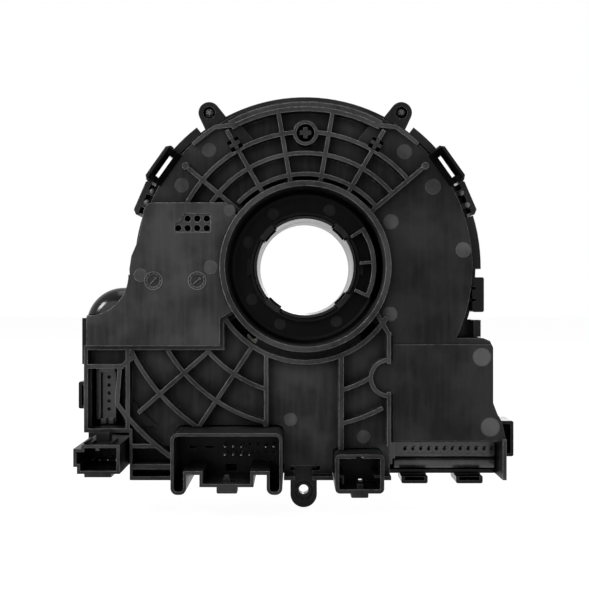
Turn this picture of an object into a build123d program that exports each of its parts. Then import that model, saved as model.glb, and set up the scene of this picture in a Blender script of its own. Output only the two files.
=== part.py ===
"""Steering clock spring with a steering angle sensor, for the top of a steering column.

The steering axis is Y.  The column side, with the ribbed rear cover and the vehicle
connectors, faces -Y.  The wheel side, with the rotor and its sockets, faces +Y.
X runs to the right and Z upwards when the part is seen from the column side.
The origin is on the steering axis, level with the tops of the rear cover's ribs.
"""
import os
from math import asin, atan2, cos, degrees, hypot, radians, sin

from build123d import *

os.makedirs("parts", exist_ok=True)

# Depth stations along the steering axis
rib_top = 0.0
panel_top = -1.5
ring_top = -2.0
plate_top = 2.0
lower_plate_step = 0.5
floor_top = 5.0
plate_t = 2.0
zone_wall = 1.6
board_back = 12.4
board_t = 1.6
split_y = board_back + board_t
lower_depth = 12.0
housing_depth = 18.0

# Radii that the rest of the part follows
housing_r = 55.0
tube_r = 16.1

# Rear cover outline
disc_r = housing_r - 2.9
cheek_low_z = -2.6
flare_r = 12.7
body_left = -68.7
body_right = 62.4
body_bottom = -66.3
foot_head_z = -53.7
body_waist_x = body_right - 3.9
body_waist_z = -42.5
body_shoulder_z = -22.3
corner_x = -54.5
corner_z = -51.5
skirt_t = 1.2
corner_r = 3.0

# Raised left panel
panel_left = -67.6
panel_head_z = 19.7
panel_foot_z = -24.6
panel_head_x = -24.5
panel_side_x = -26.5
panel_ledge = 1.3
vent_r = 1.0
vent_pitch = 2.95
vent_x = -30.5
vent_z = 11.8
vent_recess = 0.3

# Central ring and well
ring_r = 26.5
well_r = 24.85
well_floor_r = 22.4
well_floor_top = 12.0
well_floor_t = 2.0
hook_r = tube_r + 0.8
collar_r = hook_r + 0.4
collar_top = 7.9

# Ejector marks, as centres on the cover
mark_r = 2.2
small_mark_r = 1.95
mark_depth = 0.25
plate_marks = ((26.7, 14.0), (26.4, -14.8), (39.8, 24.9), (49.3, 5.2), (30.9, 35.8), (55.3, -28.3))
plate_marks += ((58.0, -49.9), (-30.0, 36.3), (-38.5, 25.3))
panel_marks = ((-29.35, -0.25), (-51.0, -2.7), (-46.97, -4.44), (-33.46, -4.44))
floor_marks = ((-4.6, -48.0), (18.3, -53.4))
well_mark_angles = (67.0, 121.0, 156.0, 211.0, 246.0, 300.0)
well_mark_r = 19.9

# Ribs of the rear cover
rib_t = 1.25
inner_arc_r = 28.7
upper_arcs = (35.2, 41.7)
lower_arcs = (40.0, 50.0, 60.0)
channel_arc_r = 29.7
outer_wall_r = 72.3
upper_spokes = (40.0, 60.0, 80.0, 100.0, 120.0, 140.0)
lower_spokes = (221.2, 236.4)
rim_in_r = disc_r - 3.9
rim_out_r = disc_r - 1.1
rim_half_angle = 28.0
left_rib_x = -12.2
right_rib_x = 11.1
wall_x = 25.9
notch_z = -34.6
notch_r = 5.6

# Posts of the cable tray that show through the rear cover
post_r = 43.8
post_span = 3.5
post_web = 1.1
post_hole = 3.9
post_top = -0.3
top_post_z = 41.4
top_boss_r = 3.85
top_boss_hole_r = 2.8

# Contact strip windows in the rear cover
left_window_x = -67.3
left_window_head_z = -31.7
right_window_x = 26.6
right_window_end_x = body_right - 1.2
right_window_head_z = -55.2
right_window_step_z = -54.4

# Small holes through the housing floor, as left, right, foot and head
left_slot = (-66.8, -65.3, -33.6, -32.4)
right_slot = (26.4, 27.9, -62.8, -61.2)

# Main header
main_left = -40.3
main_right = -7.0
main_head_z = -50.0
main_foot_z = -66.0
main_leg_z = -68.3
main_leg_width = 4.7
main_mouth = -14.0
header_floor = 8.0
main_wall = 0.9
pin_pitch = 2.54
pin_width = 0.64
pin_tip = 1.0
main_pin_x = -25.1
main_pin_z = -56.1

key_head_z = -62.2
key_width_x = 3.9

# Side header
side_left = -69.6
side_right = -55.7
side_foot_z = -62.4
side_head_z = -53.7
side_mouth = -12.0
side_wall = 0.9
side_pin_x = -66.5
side_pin_z = -60.2

# Switch header
switch_left = 8.9
switch_right = 23.8
switch_foot_z = -69.0
switch_head_z = -57.2
switch_mouth = -8.0
switch_wall = 1.2
switch_ramp = 4.0
switch_pin_x = 12.6
switch_pin_z = -59.3

# Front housing
housing_t = 2.0
lip_r = housing_r - 7.5
bulge_r = 12.0
bulge_x = -58.4
bulge_z = -18.5
bulge_back = 7.5
lug_r = 3.4
lug_reach = 2.7
lug_angle = 58.1
lug_back = 8.0
lug_depth = 14.0
lug_hole_r = 1.9
bottom_lug_x = -0.5
bottom_lug_z = -72.0
bottom_lug_r = 4.2
bottom_lug_t = 4.0
bottom_hole_r = 1.5
bottom_hole_z = bottom_lug_z + 1.5
lug_neck_z = -62.6
lug_stem = (-3.4, 2.1)
lug_bar = (-4.8, 4.6)
lug_bar_foot_z = -64.0

# Snap loops, guards and clips round the housing
loop_angle = 35.4
loop_back = 7.5
post_loop_angle = 23.4
guard_angle = 46.8
clip_back = 9.0
clip_wall = 1.0
left_clip = (body_left - 3.4, body_left + 0.6, -45.0, -36.4)
right_clip = (body_right - 0.6, body_right + 3.9, -60.2, -48.9)
foot_clips = ((30.6, 39.0), (48.0, 56.5))
foot_clip_z = -68.8
rim_clip = (housing_r - 1.8, housing_r + 1.9, -14.3, -3.2)

# Contact strips
strip_top = 12.0
strip_pitch = 2.57
strip_hole_r = 0.55
strip_contact_depth = 3.5
strip_left_x = -62.9
strip_left_z = -35.2
strip_left_count = 5
strip_right_x = 32.0
strip_right_z = -58.2
strip_right_end = right_window_end_x - 0.4
strip_right_count = int((strip_right_end - strip_right_x) / pin_pitch) + 1
rail_z = -62.7
rail_r = 2.0

# Board, screws and the cable chamber
board_left = -53.0
board_right = 25.0
board_head_z = -29.0
board_foot_z = -63.0
board_hole_r = 28.0
board_screw_points = ((-49.8, -38.0), (-46.5, -60.5), (5.6, -56.0), (21.0, -50.5))
screw_r = 1.1
screw_head_r = 2.0
screw_head_t = 1.2
boss_r = 2.7
tray_floor = 21.0
tray_floor_t = 1.5
tray_in_r = tube_r + 3.9
tray_wall_r = lip_r + 0.8
tray_wall_t = 1.5

# Rotor
bore_r = tube_r - 0.85
tube_back = 6.5
finger_angles = (45.0, 138.0, 230.0, 318.0)
finger_half_angle = 9.0
shoulder_r = tube_r + 2.5
shoulder_t = 1.1
drum_r = 22.0
drum_t = 1.5
drum_back = 23.0
front_collar_r = tube_r + 3.9
front_collar_y = 40.0
key_width = 3.0
key_r = tube_r + 1.1
disc_back = 34.5
disc_t = 2.5
rotor_disc_r = lip_r + 2.5
rotor_rib_top = 38.4
rotor_skirt_t = 1.5
running_gap = 0.35

# Angle sensor gears
gear_module = 1.0
drive_teeth = 50
gear_a_teeth = 20
gear_b_teeth = 18
gear_a_angle = 245.0
gear_b_angle = 290.0
gear_back = 15.4
gear_t = 4.0
gear_post_r = 1.5
magnet_r = 2.5
magnet_t = 1.2

# Flat cable
cable_t = 0.35
cable_back = 23.3
cable_width = 6.6
cable_start_r = 24.0
cable_pitch = 3.2
cable_turns = 6

# Sockets on the wheel side: left, right, foot and head
airbag_area = (-12.0, 12.0, 26.5, 37.5)
airbag_depth = 11.0
wheel_area = (-10.5, 10.5, -38.0, -28.0)
wheel_depth = 11.0
socket_floor = 3.0
socket_pin = 3.4

# Fit clearances
fit_gap = 0.3
seat_gap = 0.05

cover_floor_back = floor_top + plate_t
housing_front = split_y + housing_depth
lower_front = split_y + lower_depth
lip_back = housing_front - housing_t
gear_front = gear_back + gear_t
disc_front = disc_back + disc_t


def level(y):
    """Sketch plane square to the steering axis at depth y, seen from the column side."""
    return Plane.XZ.offset(-y)


def polar(radius, angle):
    """Point at a radius and angle about the steering axis."""
    return (radius * cos(radians(angle)), radius * sin(radians(angle)))


lug_x, lug_z = polar(housing_r + lug_reach, lug_angle)


def sector(r_in, r_out, start, end):
    """Piece of a flat ring between two polar angles."""
    with BuildSketch() as piece:
        with BuildLine():
            outer = CenterArc((0, 0), r_out, start, end - start)
            inner = CenterArc((0, 0), r_in, start, end - start)
            Line(outer @ 0, inner @ 0)
            Line(outer @ 1, inner @ 1)
        make_face()
    return piece.sketch


def arc_rib(radius, start, end, width=rib_t):
    """Curved rib on a radius about the steering axis."""
    return sector(radius - width / 2, radius + width / 2, start, end)


def bar(start, end, width=rib_t):
    """Straight rib between two points, its ends carried on by half a width."""
    run = (end[0] - start[0], end[1] - start[1])
    middle = ((start[0] + end[0]) / 2, (start[1] + end[1]) / 2, 0)
    with BuildSketch() as piece:
        with Locations(Location(middle, (0, 0, degrees(atan2(run[1], run[0]))))):
            Rectangle(hypot(run[0], run[1]) + width, width)
    return piece.sketch


def spoke(r_in, r_out, angle, width=rib_t):
    """Straight rib along a radius."""
    return bar(polar(r_in, angle), polar(r_out, angle), width)


def area(left, right, foot, head, radius=0.0):
    """Rectangle between two X and two Z values, with rounded corners if asked."""
    with BuildSketch() as piece:
        with Locations(((left + right) / 2, (foot + head) / 2)):
            Rectangle(right - left, head - foot)
        if radius > 0:
            fillet(piece.vertices(), radius)
    return piece.sketch


def frame(left, right, foot, head, wall, radius=0.0):
    """Rectangular wall, given by its outer size."""
    with BuildSketch() as piece:
        add(area(left, right, foot, head, radius))
        add(area(left + wall, right - wall, foot + wall, head - wall), mode=Mode.SUBTRACT)
    return piece.sketch


def disc(radius, x, z):
    """Round area about a point."""
    with BuildSketch() as piece:
        with Locations((x, z)):
            Circle(radius)
    return piece.sketch


def cross(x, z, span, web, turn=0.0):
    """Plus-shaped section of a moulded post."""
    with BuildSketch() as piece:
        with Locations(Location((x, z, 0), (0, 0, turn))):
            Rectangle(span, web)
            Rectangle(web, span)
    return piece.sketch


def polygon(*points):
    """Area inside a closed run of points."""
    with BuildSketch() as piece:
        with BuildLine():
            Polyline(*points, close=True)
        make_face()
    return piece.sketch


def cover_outline(inset=0.0):
    """Outline of the rear cover, or the same outline drawn in by a wall thickness."""
    corner = (corner_x + inset, corner_z + inset)
    with BuildSketch() as outline:
        Circle(disc_r - inset)
        add(
            polygon(
                (body_left + inset, cheek_low_z),
                (body_left + inset, corner[1]),
                corner,
                (corner[0], body_bottom + inset),
                (body_right - inset, body_bottom + inset),
                (body_right - inset, foot_head_z),
                (body_right - 1.2 - inset, foot_head_z + 5.3),
                (body_waist_x + 1.3 - inset, body_waist_z - 3.4),
                (body_waist_x - inset, body_waist_z),
                (body_waist_x - inset, body_shoulder_z - corner_r),
                (body_waist_x - 0.9 - inset, body_shoulder_z - 0.9 - inset),
                (body_waist_x - corner_r, body_shoulder_z - inset),
                (0, body_shoulder_z - inset),
                (0, cheek_low_z),
            )
        )
        add(disc(flare_r + inset, body_left + 1.3, cheek_low_z), mode=Mode.SUBTRACT)
        add(cheek(inset))
    return outline.sketch


def cheek(inset=0.0):
    """Left flank of the cover, carried out past the disc beside the raised panel."""
    edge = -disc_r + inset
    return polygon(
        (edge + 2.6, panel_head_z - inset),
        (edge + 0.4, 8.0),
        (edge - 1.7, 3.2),
        (edge - 2.3, -1.0),
        (edge - 2.1, cheek_low_z - 1),
        (0, cheek_low_z - 1),
        (0, panel_head_z - inset),
    )


def panel_zone(grow=0.0):
    """Raised left panel, or the ledge that stands round its lower and inner sides."""
    with BuildSketch() as zone:
        add(
            polygon(
                (panel_left, panel_head_z),
                (panel_head_x, panel_head_z),
                (-21.5, 16.0),
                (-10.0, 0.0),
                (-23.4 + grow, -14.4),
                (panel_side_x + grow, -16.1),
                (panel_side_x + grow, panel_foot_z - grow),
                (panel_left, panel_foot_z - grow),
            )
        )
        add(cover_outline(), mode=Mode.INTERSECT)
        top_left = zone.vertices().sort_by(Axis.Y)[-2:].sort_by(Axis.X)[0]
        fillet(top_left, corner_r)
    return zone.sketch


def plate_zone():
    """Smooth raised plates: the right side, and both outer areas beside the rim."""
    plate_x = wall_x + rib_t
    with BuildSketch() as zone:
        add(
            polygon(
                (0, 0),
                polar(80, upper_spokes[0]),
                (80, 0),
                (80, right_window_step_z),
                (plate_x, right_window_step_z),
                (plate_x, -21.3),
                (20.0, -12.5),
            )
        )
        add(disc(notch_r - rib_t / 2, wall_x, notch_z))
        add(outer_zone(1))
        add(outer_zone(-1))
        add(cover_outline(), mode=Mode.INTERSECT)
    return zone.sketch


def outer_zone(side):
    """Outer area above the grid on the right (side 1) or the left (side -1)."""
    low = polar(70, upper_spokes[0]) if side > 0 else (70.0, panel_head_z)
    with BuildSketch() as zone:
        add(polygon((0, panel_head_z), (side * low[0], low[1]), (side * 60, 60), (side * 38.1, 66)))
        add(polygon((0, 0), (side * low[0], low[1]), (side * 60, 60), (side * 38.1, 66)))
        Circle(upper_arcs[-1], mode=Mode.SUBTRACT)
        if side < 0:
            add(area(-80, 0, -80, panel_head_z), mode=Mode.SUBTRACT)
    return zone.sketch


def plate_hollow():
    """Room behind the smooth plates, a wall's thickness inside their edges."""
    outer_r = disc_r - zone_wall
    with BuildSketch() as hollow:
        add(sector(ring_r + zone_wall, outer_r, -20, upper_spokes[0] - 2.5))
        add(
            area(
                wall_x + rib_t + zone_wall,
                body_waist_x - zone_wall,
                right_window_head_z + zone_wall,
                body_shoulder_z + 5,
            )
        )
        add(sector(upper_arcs[-1] + zone_wall, outer_r, upper_spokes[0] + 2, upper_spokes[1] - 2))
        add(sector(upper_arcs[-1] + zone_wall, outer_r, upper_spokes[4] + 2, 150))
    return hollow.sketch


def panel_hollow():
    """Room behind the raised left panel, a wall's thickness inside its edges."""
    with BuildSketch() as hollow:
        add(
            area(
                body_left,
                panel_side_x - zone_wall,
                panel_foot_z + zone_wall,
                panel_head_z - zone_wall,
            )
        )
        add(cover_outline(zone_wall), mode=Mode.INTERSECT)
        Circle(ring_r + zone_wall, mode=Mode.SUBTRACT)
    return hollow.sketch


def upper_grid():
    """Curved and radial ribs above the ring, with the rim and its two shoulders."""
    with BuildSketch() as grid:
        for radius in (inner_arc_r, *upper_arcs):
            add(arc_rib(radius, upper_spokes[0], 180 - degrees(asin(panel_head_z / radius))))
        for angle in upper_spokes:
            add(spoke(ring_r, rim_in_r, angle))
        add(sector(rim_in_r, rim_out_r, 90 - rim_half_angle, 90 + rim_half_angle))
        for side in (-1, 1):
            knee = (side * 28.3, 43.2)
            add(bar((side * 23.3, 43.8), knee, 1.3))
            add(bar(knee, (side * 34.5, 38.4), 1.3))
    return grid.sketch


def lower_left_grid():
    """Curved and radial ribs below the raised panel, out to the long curved wall."""
    first, second, third = lower_arcs
    ledge_z = -panel_foot_z + panel_ledge
    with BuildSketch() as grid:
        add(arc_rib(first, 180 + degrees(asin(ledge_z / first)), 270 + degrees(asin(left_rib_x / first))))
        add(arc_rib(second, 180 + degrees(asin(ledge_z / second)), 270 + degrees(asin(left_rib_x / second))))
        add(arc_rib(third, 180 + degrees(asin(ledge_z / third)), 180 + degrees(asin(-main_head_z / third))))
        add(spoke(first, outer_wall_r - 4.0, lower_spokes[0]))
        add(spoke(channel_arc_r, third, lower_spokes[1]))
        add(bar((left_rib_x, -channel_arc_r + 2), (left_rib_x, main_head_z)))
        add(bar((body_left, -31.0), (-57.0, -31.0), 1.3))
        add(bar((-57.0, -31.0), (-53.9, -28.5), 1.3))
        add(bar((-57.6, -31.0), (-58.3, -40.2), 1.4))
        add(bar((-58.3, -40.2), polar(outer_wall_r, 216.0), 1.4))
        add(arc_rib(outer_wall_r, 215.5, 235.0, 1.4))
        add(bar((corner_x, -55.7), (-46.5, -55.7)))
        add(bar((corner_x, -62.1), (main_left, -62.1), 1.6))
    return grid.sketch


def lower_right_grid():
    """Ribs between the central panel and the wall of the right plate."""
    with BuildSketch() as grid:
        add(bar((right_rib_x, -channel_arc_r + 1.5), (right_rib_x, switch_head_z + 0.5), 1.5))
        for radius in lower_arcs[:2]:
            add(arc_rib(radius, 270 + degrees(asin(right_rib_x / radius)), 270 + degrees(asin(24.0 / radius))))
        add(disc(notch_r - rib_t / 2, wall_x, notch_z), mode=Mode.SUBTRACT)
        add(area(wall_x + rib_t / 2, 60, -60, 0), mode=Mode.SUBTRACT)
        add(bar((21.6, -13.6), (wall_x, -21.0)))
        add(bar((wall_x, -21.0), (wall_x, notch_z + notch_r - 0.6)))
        add(notch_wall())
        add(bar((wall_x, notch_z - notch_r + 0.6), (wall_x, right_window_head_z)))
    return grid.sketch


def notch_wall():
    """Half-round wall that bulges to the left round the locating notch."""
    with BuildSketch() as wall:
        with Locations((wall_x, notch_z)):
            Circle(notch_r + rib_t / 2)
            Circle(notch_r - rib_t / 2, mode=Mode.SUBTRACT)
        add(area(wall_x + rib_t / 2, 60, -60, 0), mode=Mode.SUBTRACT)
    return wall.sketch


def well_profile():
    """Half section of the ring, the tapered well and the collar round the rotor."""
    floor_back = well_floor_top + well_floor_t
    inner_r = tube_r + running_gap
    with BuildSketch(Plane.XY) as profile:
        with BuildLine():
            Polyline(
                (well_r, ring_top),
                (ring_r, ring_top),
                (ring_r, cover_floor_back - 0.5),
                (well_r + 1.2, floor_back),
                (inner_r, floor_back),
                (inner_r, collar_top),
                (collar_r, collar_top),
                (collar_r, well_floor_top),
                (well_floor_r, well_floor_top),
            )
            Spline(
                (well_floor_r, well_floor_top),
                (well_r - 0.6, well_floor_top - 2.6),
                (well_r, ring_top),
                tangents=((1, 0), (0.05, -1)),
            )
        make_face()
    return profile.sketch


def cover_openings():
    """Everything that goes right through the rear cover, seen along the axis."""
    with BuildSketch() as cut:
        for angle in upper_spokes[:-1]:
            add(sector(ring_r + 0.5, inner_arc_r - rib_t / 2, angle + 4, min(angle + 16, 135)))
        add(sector(ring_r + 0.5, channel_arc_r - 0.7, 216.0, 237.0))
        add(sector(ring_r + 0.5, channel_arc_r - 0.7, 308.0, 321.0))
        for angle in (upper_spokes[1], upper_spokes[4]):
            with Locations(Location((*polar(post_r, angle), 0), (0, 0, angle))):
                Rectangle(post_hole, post_hole)
        add(disc(top_boss_hole_r, 0, top_post_z))
        add(vents())
        # Contact strip windows
        add(
            polygon(
                (left_window_x, left_window_head_z),
                (-58.2, left_window_head_z),
                (-59.0, -40.2),
                polar(outer_wall_r + 0.7, 216.0),
                (-56.0, corner_z + skirt_t),
                (left_window_x, corner_z + skirt_t),
            )
        )
        add(area(right_window_x, right_window_end_x, body_bottom - 3, right_window_head_z))
        # Header openings, open at the bottom edge
        add(area(main_left - fit_gap, main_right + fit_gap, main_leg_z, main_head_z + fit_gap, 2.0))
        add(area(main_left - fit_gap, main_right + fit_gap, body_bottom - 3, main_foot_z + 2))
        add(area(switch_left - fit_gap, switch_right + fit_gap, -66, switch_head_z + fit_gap, 1.5))
        add(area(switch_left - fit_gap, switch_right + fit_gap, body_bottom - 3, -63))
        add(area(*right_slot))
        # Recess in front of the neck of the bottom lug
        add(area(*lug_stem, body_bottom - 3, lug_neck_z))
        add(area(*lug_bar, lug_bar_foot_z, lug_neck_z))
    return cut.sketch


def vent_zone():
    """Shallow recess round the vents, with a hollow corner at the upper left."""
    with BuildSketch() as zone:
        add(area(-40.3, -29.3, 10.6, 16.3, 0.4))
        add(disc(3.6, -41.2, 16.9), mode=Mode.SUBTRACT)
    return zone.sketch


def flange_pocket(inset=0.0):
    """Deep pockets between the ribs of the lower left flange."""
    with BuildSketch() as pockets:
        add(area(corner_x + 0.8 - inset, main_left - fit_gap - 1.2 + inset, -61.3 - inset, -56.4 + inset))
        add(area(corner_x + 0.8 - inset, main_left - fit_gap - 1.2 + inset, body_bottom + 1.2 - inset, -62.9 + inset))
    return pockets.sketch


def vents():
    """Seven round holes in the raised panel, three above four."""
    with BuildSketch() as holes:
        for row, count in enumerate((4, 3)):
            for column in range(count):
                with Locations((vent_x - column * vent_pitch, vent_z + row * vent_pitch)):
                    Circle(vent_r)
    return holes.sketch


# Rear cover
with BuildPart() as rear_cover:
    with BuildSketch(level(floor_top)):
        add(cover_outline())
    extrude(amount=-(split_y - floor_top))
    with BuildSketch(level(cover_floor_back)):
        add(cover_outline(skirt_t))
    extrude(amount=-(split_y - cover_floor_back), mode=Mode.SUBTRACT)
    # Raised plates, hollow behind
    with BuildSketch(level(plate_top)):
        add(plate_zone())
    extrude(amount=-(cover_floor_back - plate_top))
    with BuildSketch(level(plate_top - lower_plate_step)):
        add(plate_zone())
        add(area(0, 80, -24.3, 80), mode=Mode.SUBTRACT)
    extrude(amount=-(lower_plate_step + 0.5))
    with BuildSketch(level(panel_top)):
        add(panel_zone())
    extrude(amount=-(cover_floor_back - panel_top))
    with BuildSketch(level(rib_top)):
        add(panel_zone(panel_ledge))
    extrude(amount=-(cover_floor_back - rib_top))
    with BuildSketch(level(plate_top + plate_t)):
        add(plate_hollow())
    extrude(amount=-(cover_floor_back - plate_top - plate_t), mode=Mode.SUBTRACT)
    with BuildSketch(level(panel_top + plate_t)):
        add(panel_hollow())
    extrude(amount=-(cover_floor_back - panel_top - plate_t), mode=Mode.SUBTRACT)
    # Ribs
    with BuildSketch(level(rib_top)):
        add(upper_grid())
        add(lower_left_grid())
        add(lower_right_grid())
        add(arc_rib(channel_arc_r, 212.0, 328.0, 1.4))
        add(frame(body_left, corner_x, corner_z, panel_foot_z, skirt_t))
        add(area(corner_x, corner_x + 0.8, body_bottom, corner_z + skirt_t))
        add(area(corner_x, body_right, body_bottom, body_bottom + skirt_t))
        add(area(right_window_end_x, body_right, body_bottom, foot_head_z))
        add(cover_outline(), mode=Mode.INTERSECT)
    extrude(amount=-(floor_top - rib_top + 0.5))
    with BuildSketch(level(rib_top - 0.5)):
        for side in (-1, 1):
            add(disc(1.1, side * polar(disc_r - 3.6, upper_spokes[0])[0], polar(disc_r - 3.6, upper_spokes[0])[1]))
    extrude(amount=-(floor_top - rib_top))
    with BuildSketch(level(floor_top)):
        add(flange_pocket(0.8))
    extrude(amount=-5.3)
    with BuildSketch(level(floor_top)):
        add(flange_pocket())
    extrude(amount=-4.0, mode=Mode.SUBTRACT)
    # Ring and well
    with BuildSketch(level(ring_top - 1)):
        Circle(ring_r - 0.8)
    extrude(amount=-(split_y - ring_top + 2), mode=Mode.SUBTRACT)
    add(well_profile())
    revolve(axis=Axis.Y)
    # Ribbed box on the right of the well floor, and two stops beside the collar
    with BuildSketch(level(floor_top)):
        add(sector(20.9, 22.3, -26.0, 34.0))
        for angle in (-25.0, 4.0, 33.0):
            add(spoke(collar_r, 21.5, angle, 0.9))
        Circle(hook_r + fit_gap, mode=Mode.SUBTRACT)
    extrude(amount=-(well_floor_top - floor_top + 0.5))
    with BuildSketch(level(collar_top + 0.6)):
        for angle in (0, 180):
            add(sector(collar_r - 0.2, collar_r + 1.1, angle - 8, angle + 8))
    extrude(amount=-(well_floor_top - collar_top))
    # Step along the long curved wall, and the boss round the upper post
    with BuildSketch(level(floor_top - 1.2)):
        add(sector(outer_wall_r - 4.0, outer_wall_r, 216.0, 232.0))
        add(area(corner_x - 10, main_left, main_head_z, panel_foot_z), mode=Mode.INTERSECT)
    extrude(amount=-1.4)
    with BuildSketch(level(rib_top)):
        add(disc(top_boss_r, 0, top_post_z))
    extrude(amount=-(cover_floor_back - rib_top))
    # Openings
    with BuildSketch(level(ring_top - 1)):
        add(cover_openings())
    extrude(amount=-(split_y - ring_top + 2), mode=Mode.SUBTRACT)
    with BuildSketch(level(lug_back - fit_gap)):
        neck = bottom_lug_r + fit_gap
        add(area(bottom_lug_x - neck, bottom_lug_x + neck, body_bottom - 3, lug_neck_z + fit_gap))
    extrude(amount=-(split_y - lug_back + 1), mode=Mode.SUBTRACT)
    with BuildSketch(level(panel_top)):
        add(vent_zone())
    extrude(amount=-vent_recess, mode=Mode.SUBTRACT)
    # Ejector marks
    with BuildSketch(level(plate_top)):
        for x, z in plate_marks:
            add(disc(mark_r, x, z))
    extrude(amount=-mark_depth, mode=Mode.SUBTRACT)
    with BuildSketch(level(panel_top)):
        for x, z in panel_marks:
            add(disc(small_mark_r, x, z))
    extrude(amount=-mark_depth, mode=Mode.SUBTRACT)
    with BuildSketch(level(floor_top)):
        for x, z in floor_marks:
            add(disc(small_mark_r, x, z))
    extrude(amount=-mark_depth, mode=Mode.SUBTRACT)
    with BuildSketch(level(well_floor_top)):
        for angle in well_mark_angles:
            add(disc(small_mark_r, *polar(well_mark_r, angle)))
    extrude(amount=-mark_depth, mode=Mode.SUBTRACT)

rear_cover.part.label = "rear_cover"
export_step(rear_cover.part, "parts/rear_cover.step")


# Front housing
def corner_block(inset=0.0):
    """Foot of the housing under the side header."""
    return area(side_left - 0.3 + inset, corner_x + 4, side_foot_z - 0.6 + inset, side_head_z + 0.5 - inset)


def bulge(inset=0.0):
    """Rounded shoulder that shows in the flare of the rear cover."""
    with BuildSketch() as shoulder:
        add(disc(bulge_r - inset, bulge_x, bulge_z))
        add(area(bulge_x, -30, bulge_z - bulge_r, bulge_z + bulge_r - inset))
        add(area(bulge_x - bulge_r + inset, bulge_x, -30, bulge_z))
    return shoulder.sketch


def housing_outline(inset=0.0):
    """Outline of the lower housing body."""
    with BuildSketch() as outline:
        add(cover_outline(inset))
        add(corner_block(inset))
        add(bulge(inset))
    return outline.sketch


def lug_outline(x, z):
    """Eye of a top lug with a neck that flares back to the housing wall."""
    with BuildSketch() as eye:
        with Locations((x, z)):
            Circle(lug_r)
        with Locations(polar(housing_r - 4.0, degrees(atan2(z, x)))):
            Circle(lug_r + 0.8)
        make_hull()
        Circle(housing_r - housing_t + 0.5, mode=Mode.SUBTRACT)
    return eye.sketch


def rim_block(angle, in_r, out_r, length, shift=0.0, chamfered=False):
    """Block square to a radius of the rim, its outer corners cut off if asked."""
    with BuildSketch() as block:
        with Locations(Location((*polar((in_r + out_r) / 2, angle), 0), (0, 0, angle))):
            with Locations((0, shift)):
                Rectangle(out_r - in_r, length)
        if chamfered:
            outer = block.vertices().sort_by(lambda v: -hypot(v.X, v.Y))[:2]
            chamfer(outer, min(1.2, (out_r - in_r) * 0.7))
    return block.sketch


def clip_frames():
    """Sections of the clips on the right side of the rim, the sides and the bottom edge."""
    with BuildSketch() as clips:
        add(frame(*left_clip, clip_wall, 0.6))
        add(frame(*right_clip, clip_wall, 0.6))
        for left, right in foot_clips:
            add(frame(left, right, foot_clip_z, body_bottom + 0.6, clip_wall, 0.6))
    return clips.sketch


def bulge_dome():
    """Half section of the bulge's rounded back."""
    dome_r = split_y - bulge_back
    with BuildSketch(Plane.XY.offset(bulge_z)) as section:
        with BuildLine():
            top = Line((bulge_x, bulge_back), (bulge_x + bulge_r - dome_r, bulge_back))
            edge = CenterArc((bulge_x + bulge_r - dome_r, split_y), dome_r, 270, 90)
            Line(edge @ 1, (bulge_x, split_y))
            Line((bulge_x, split_y), top @ 0)
        make_face()
    return section.sketch


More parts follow.
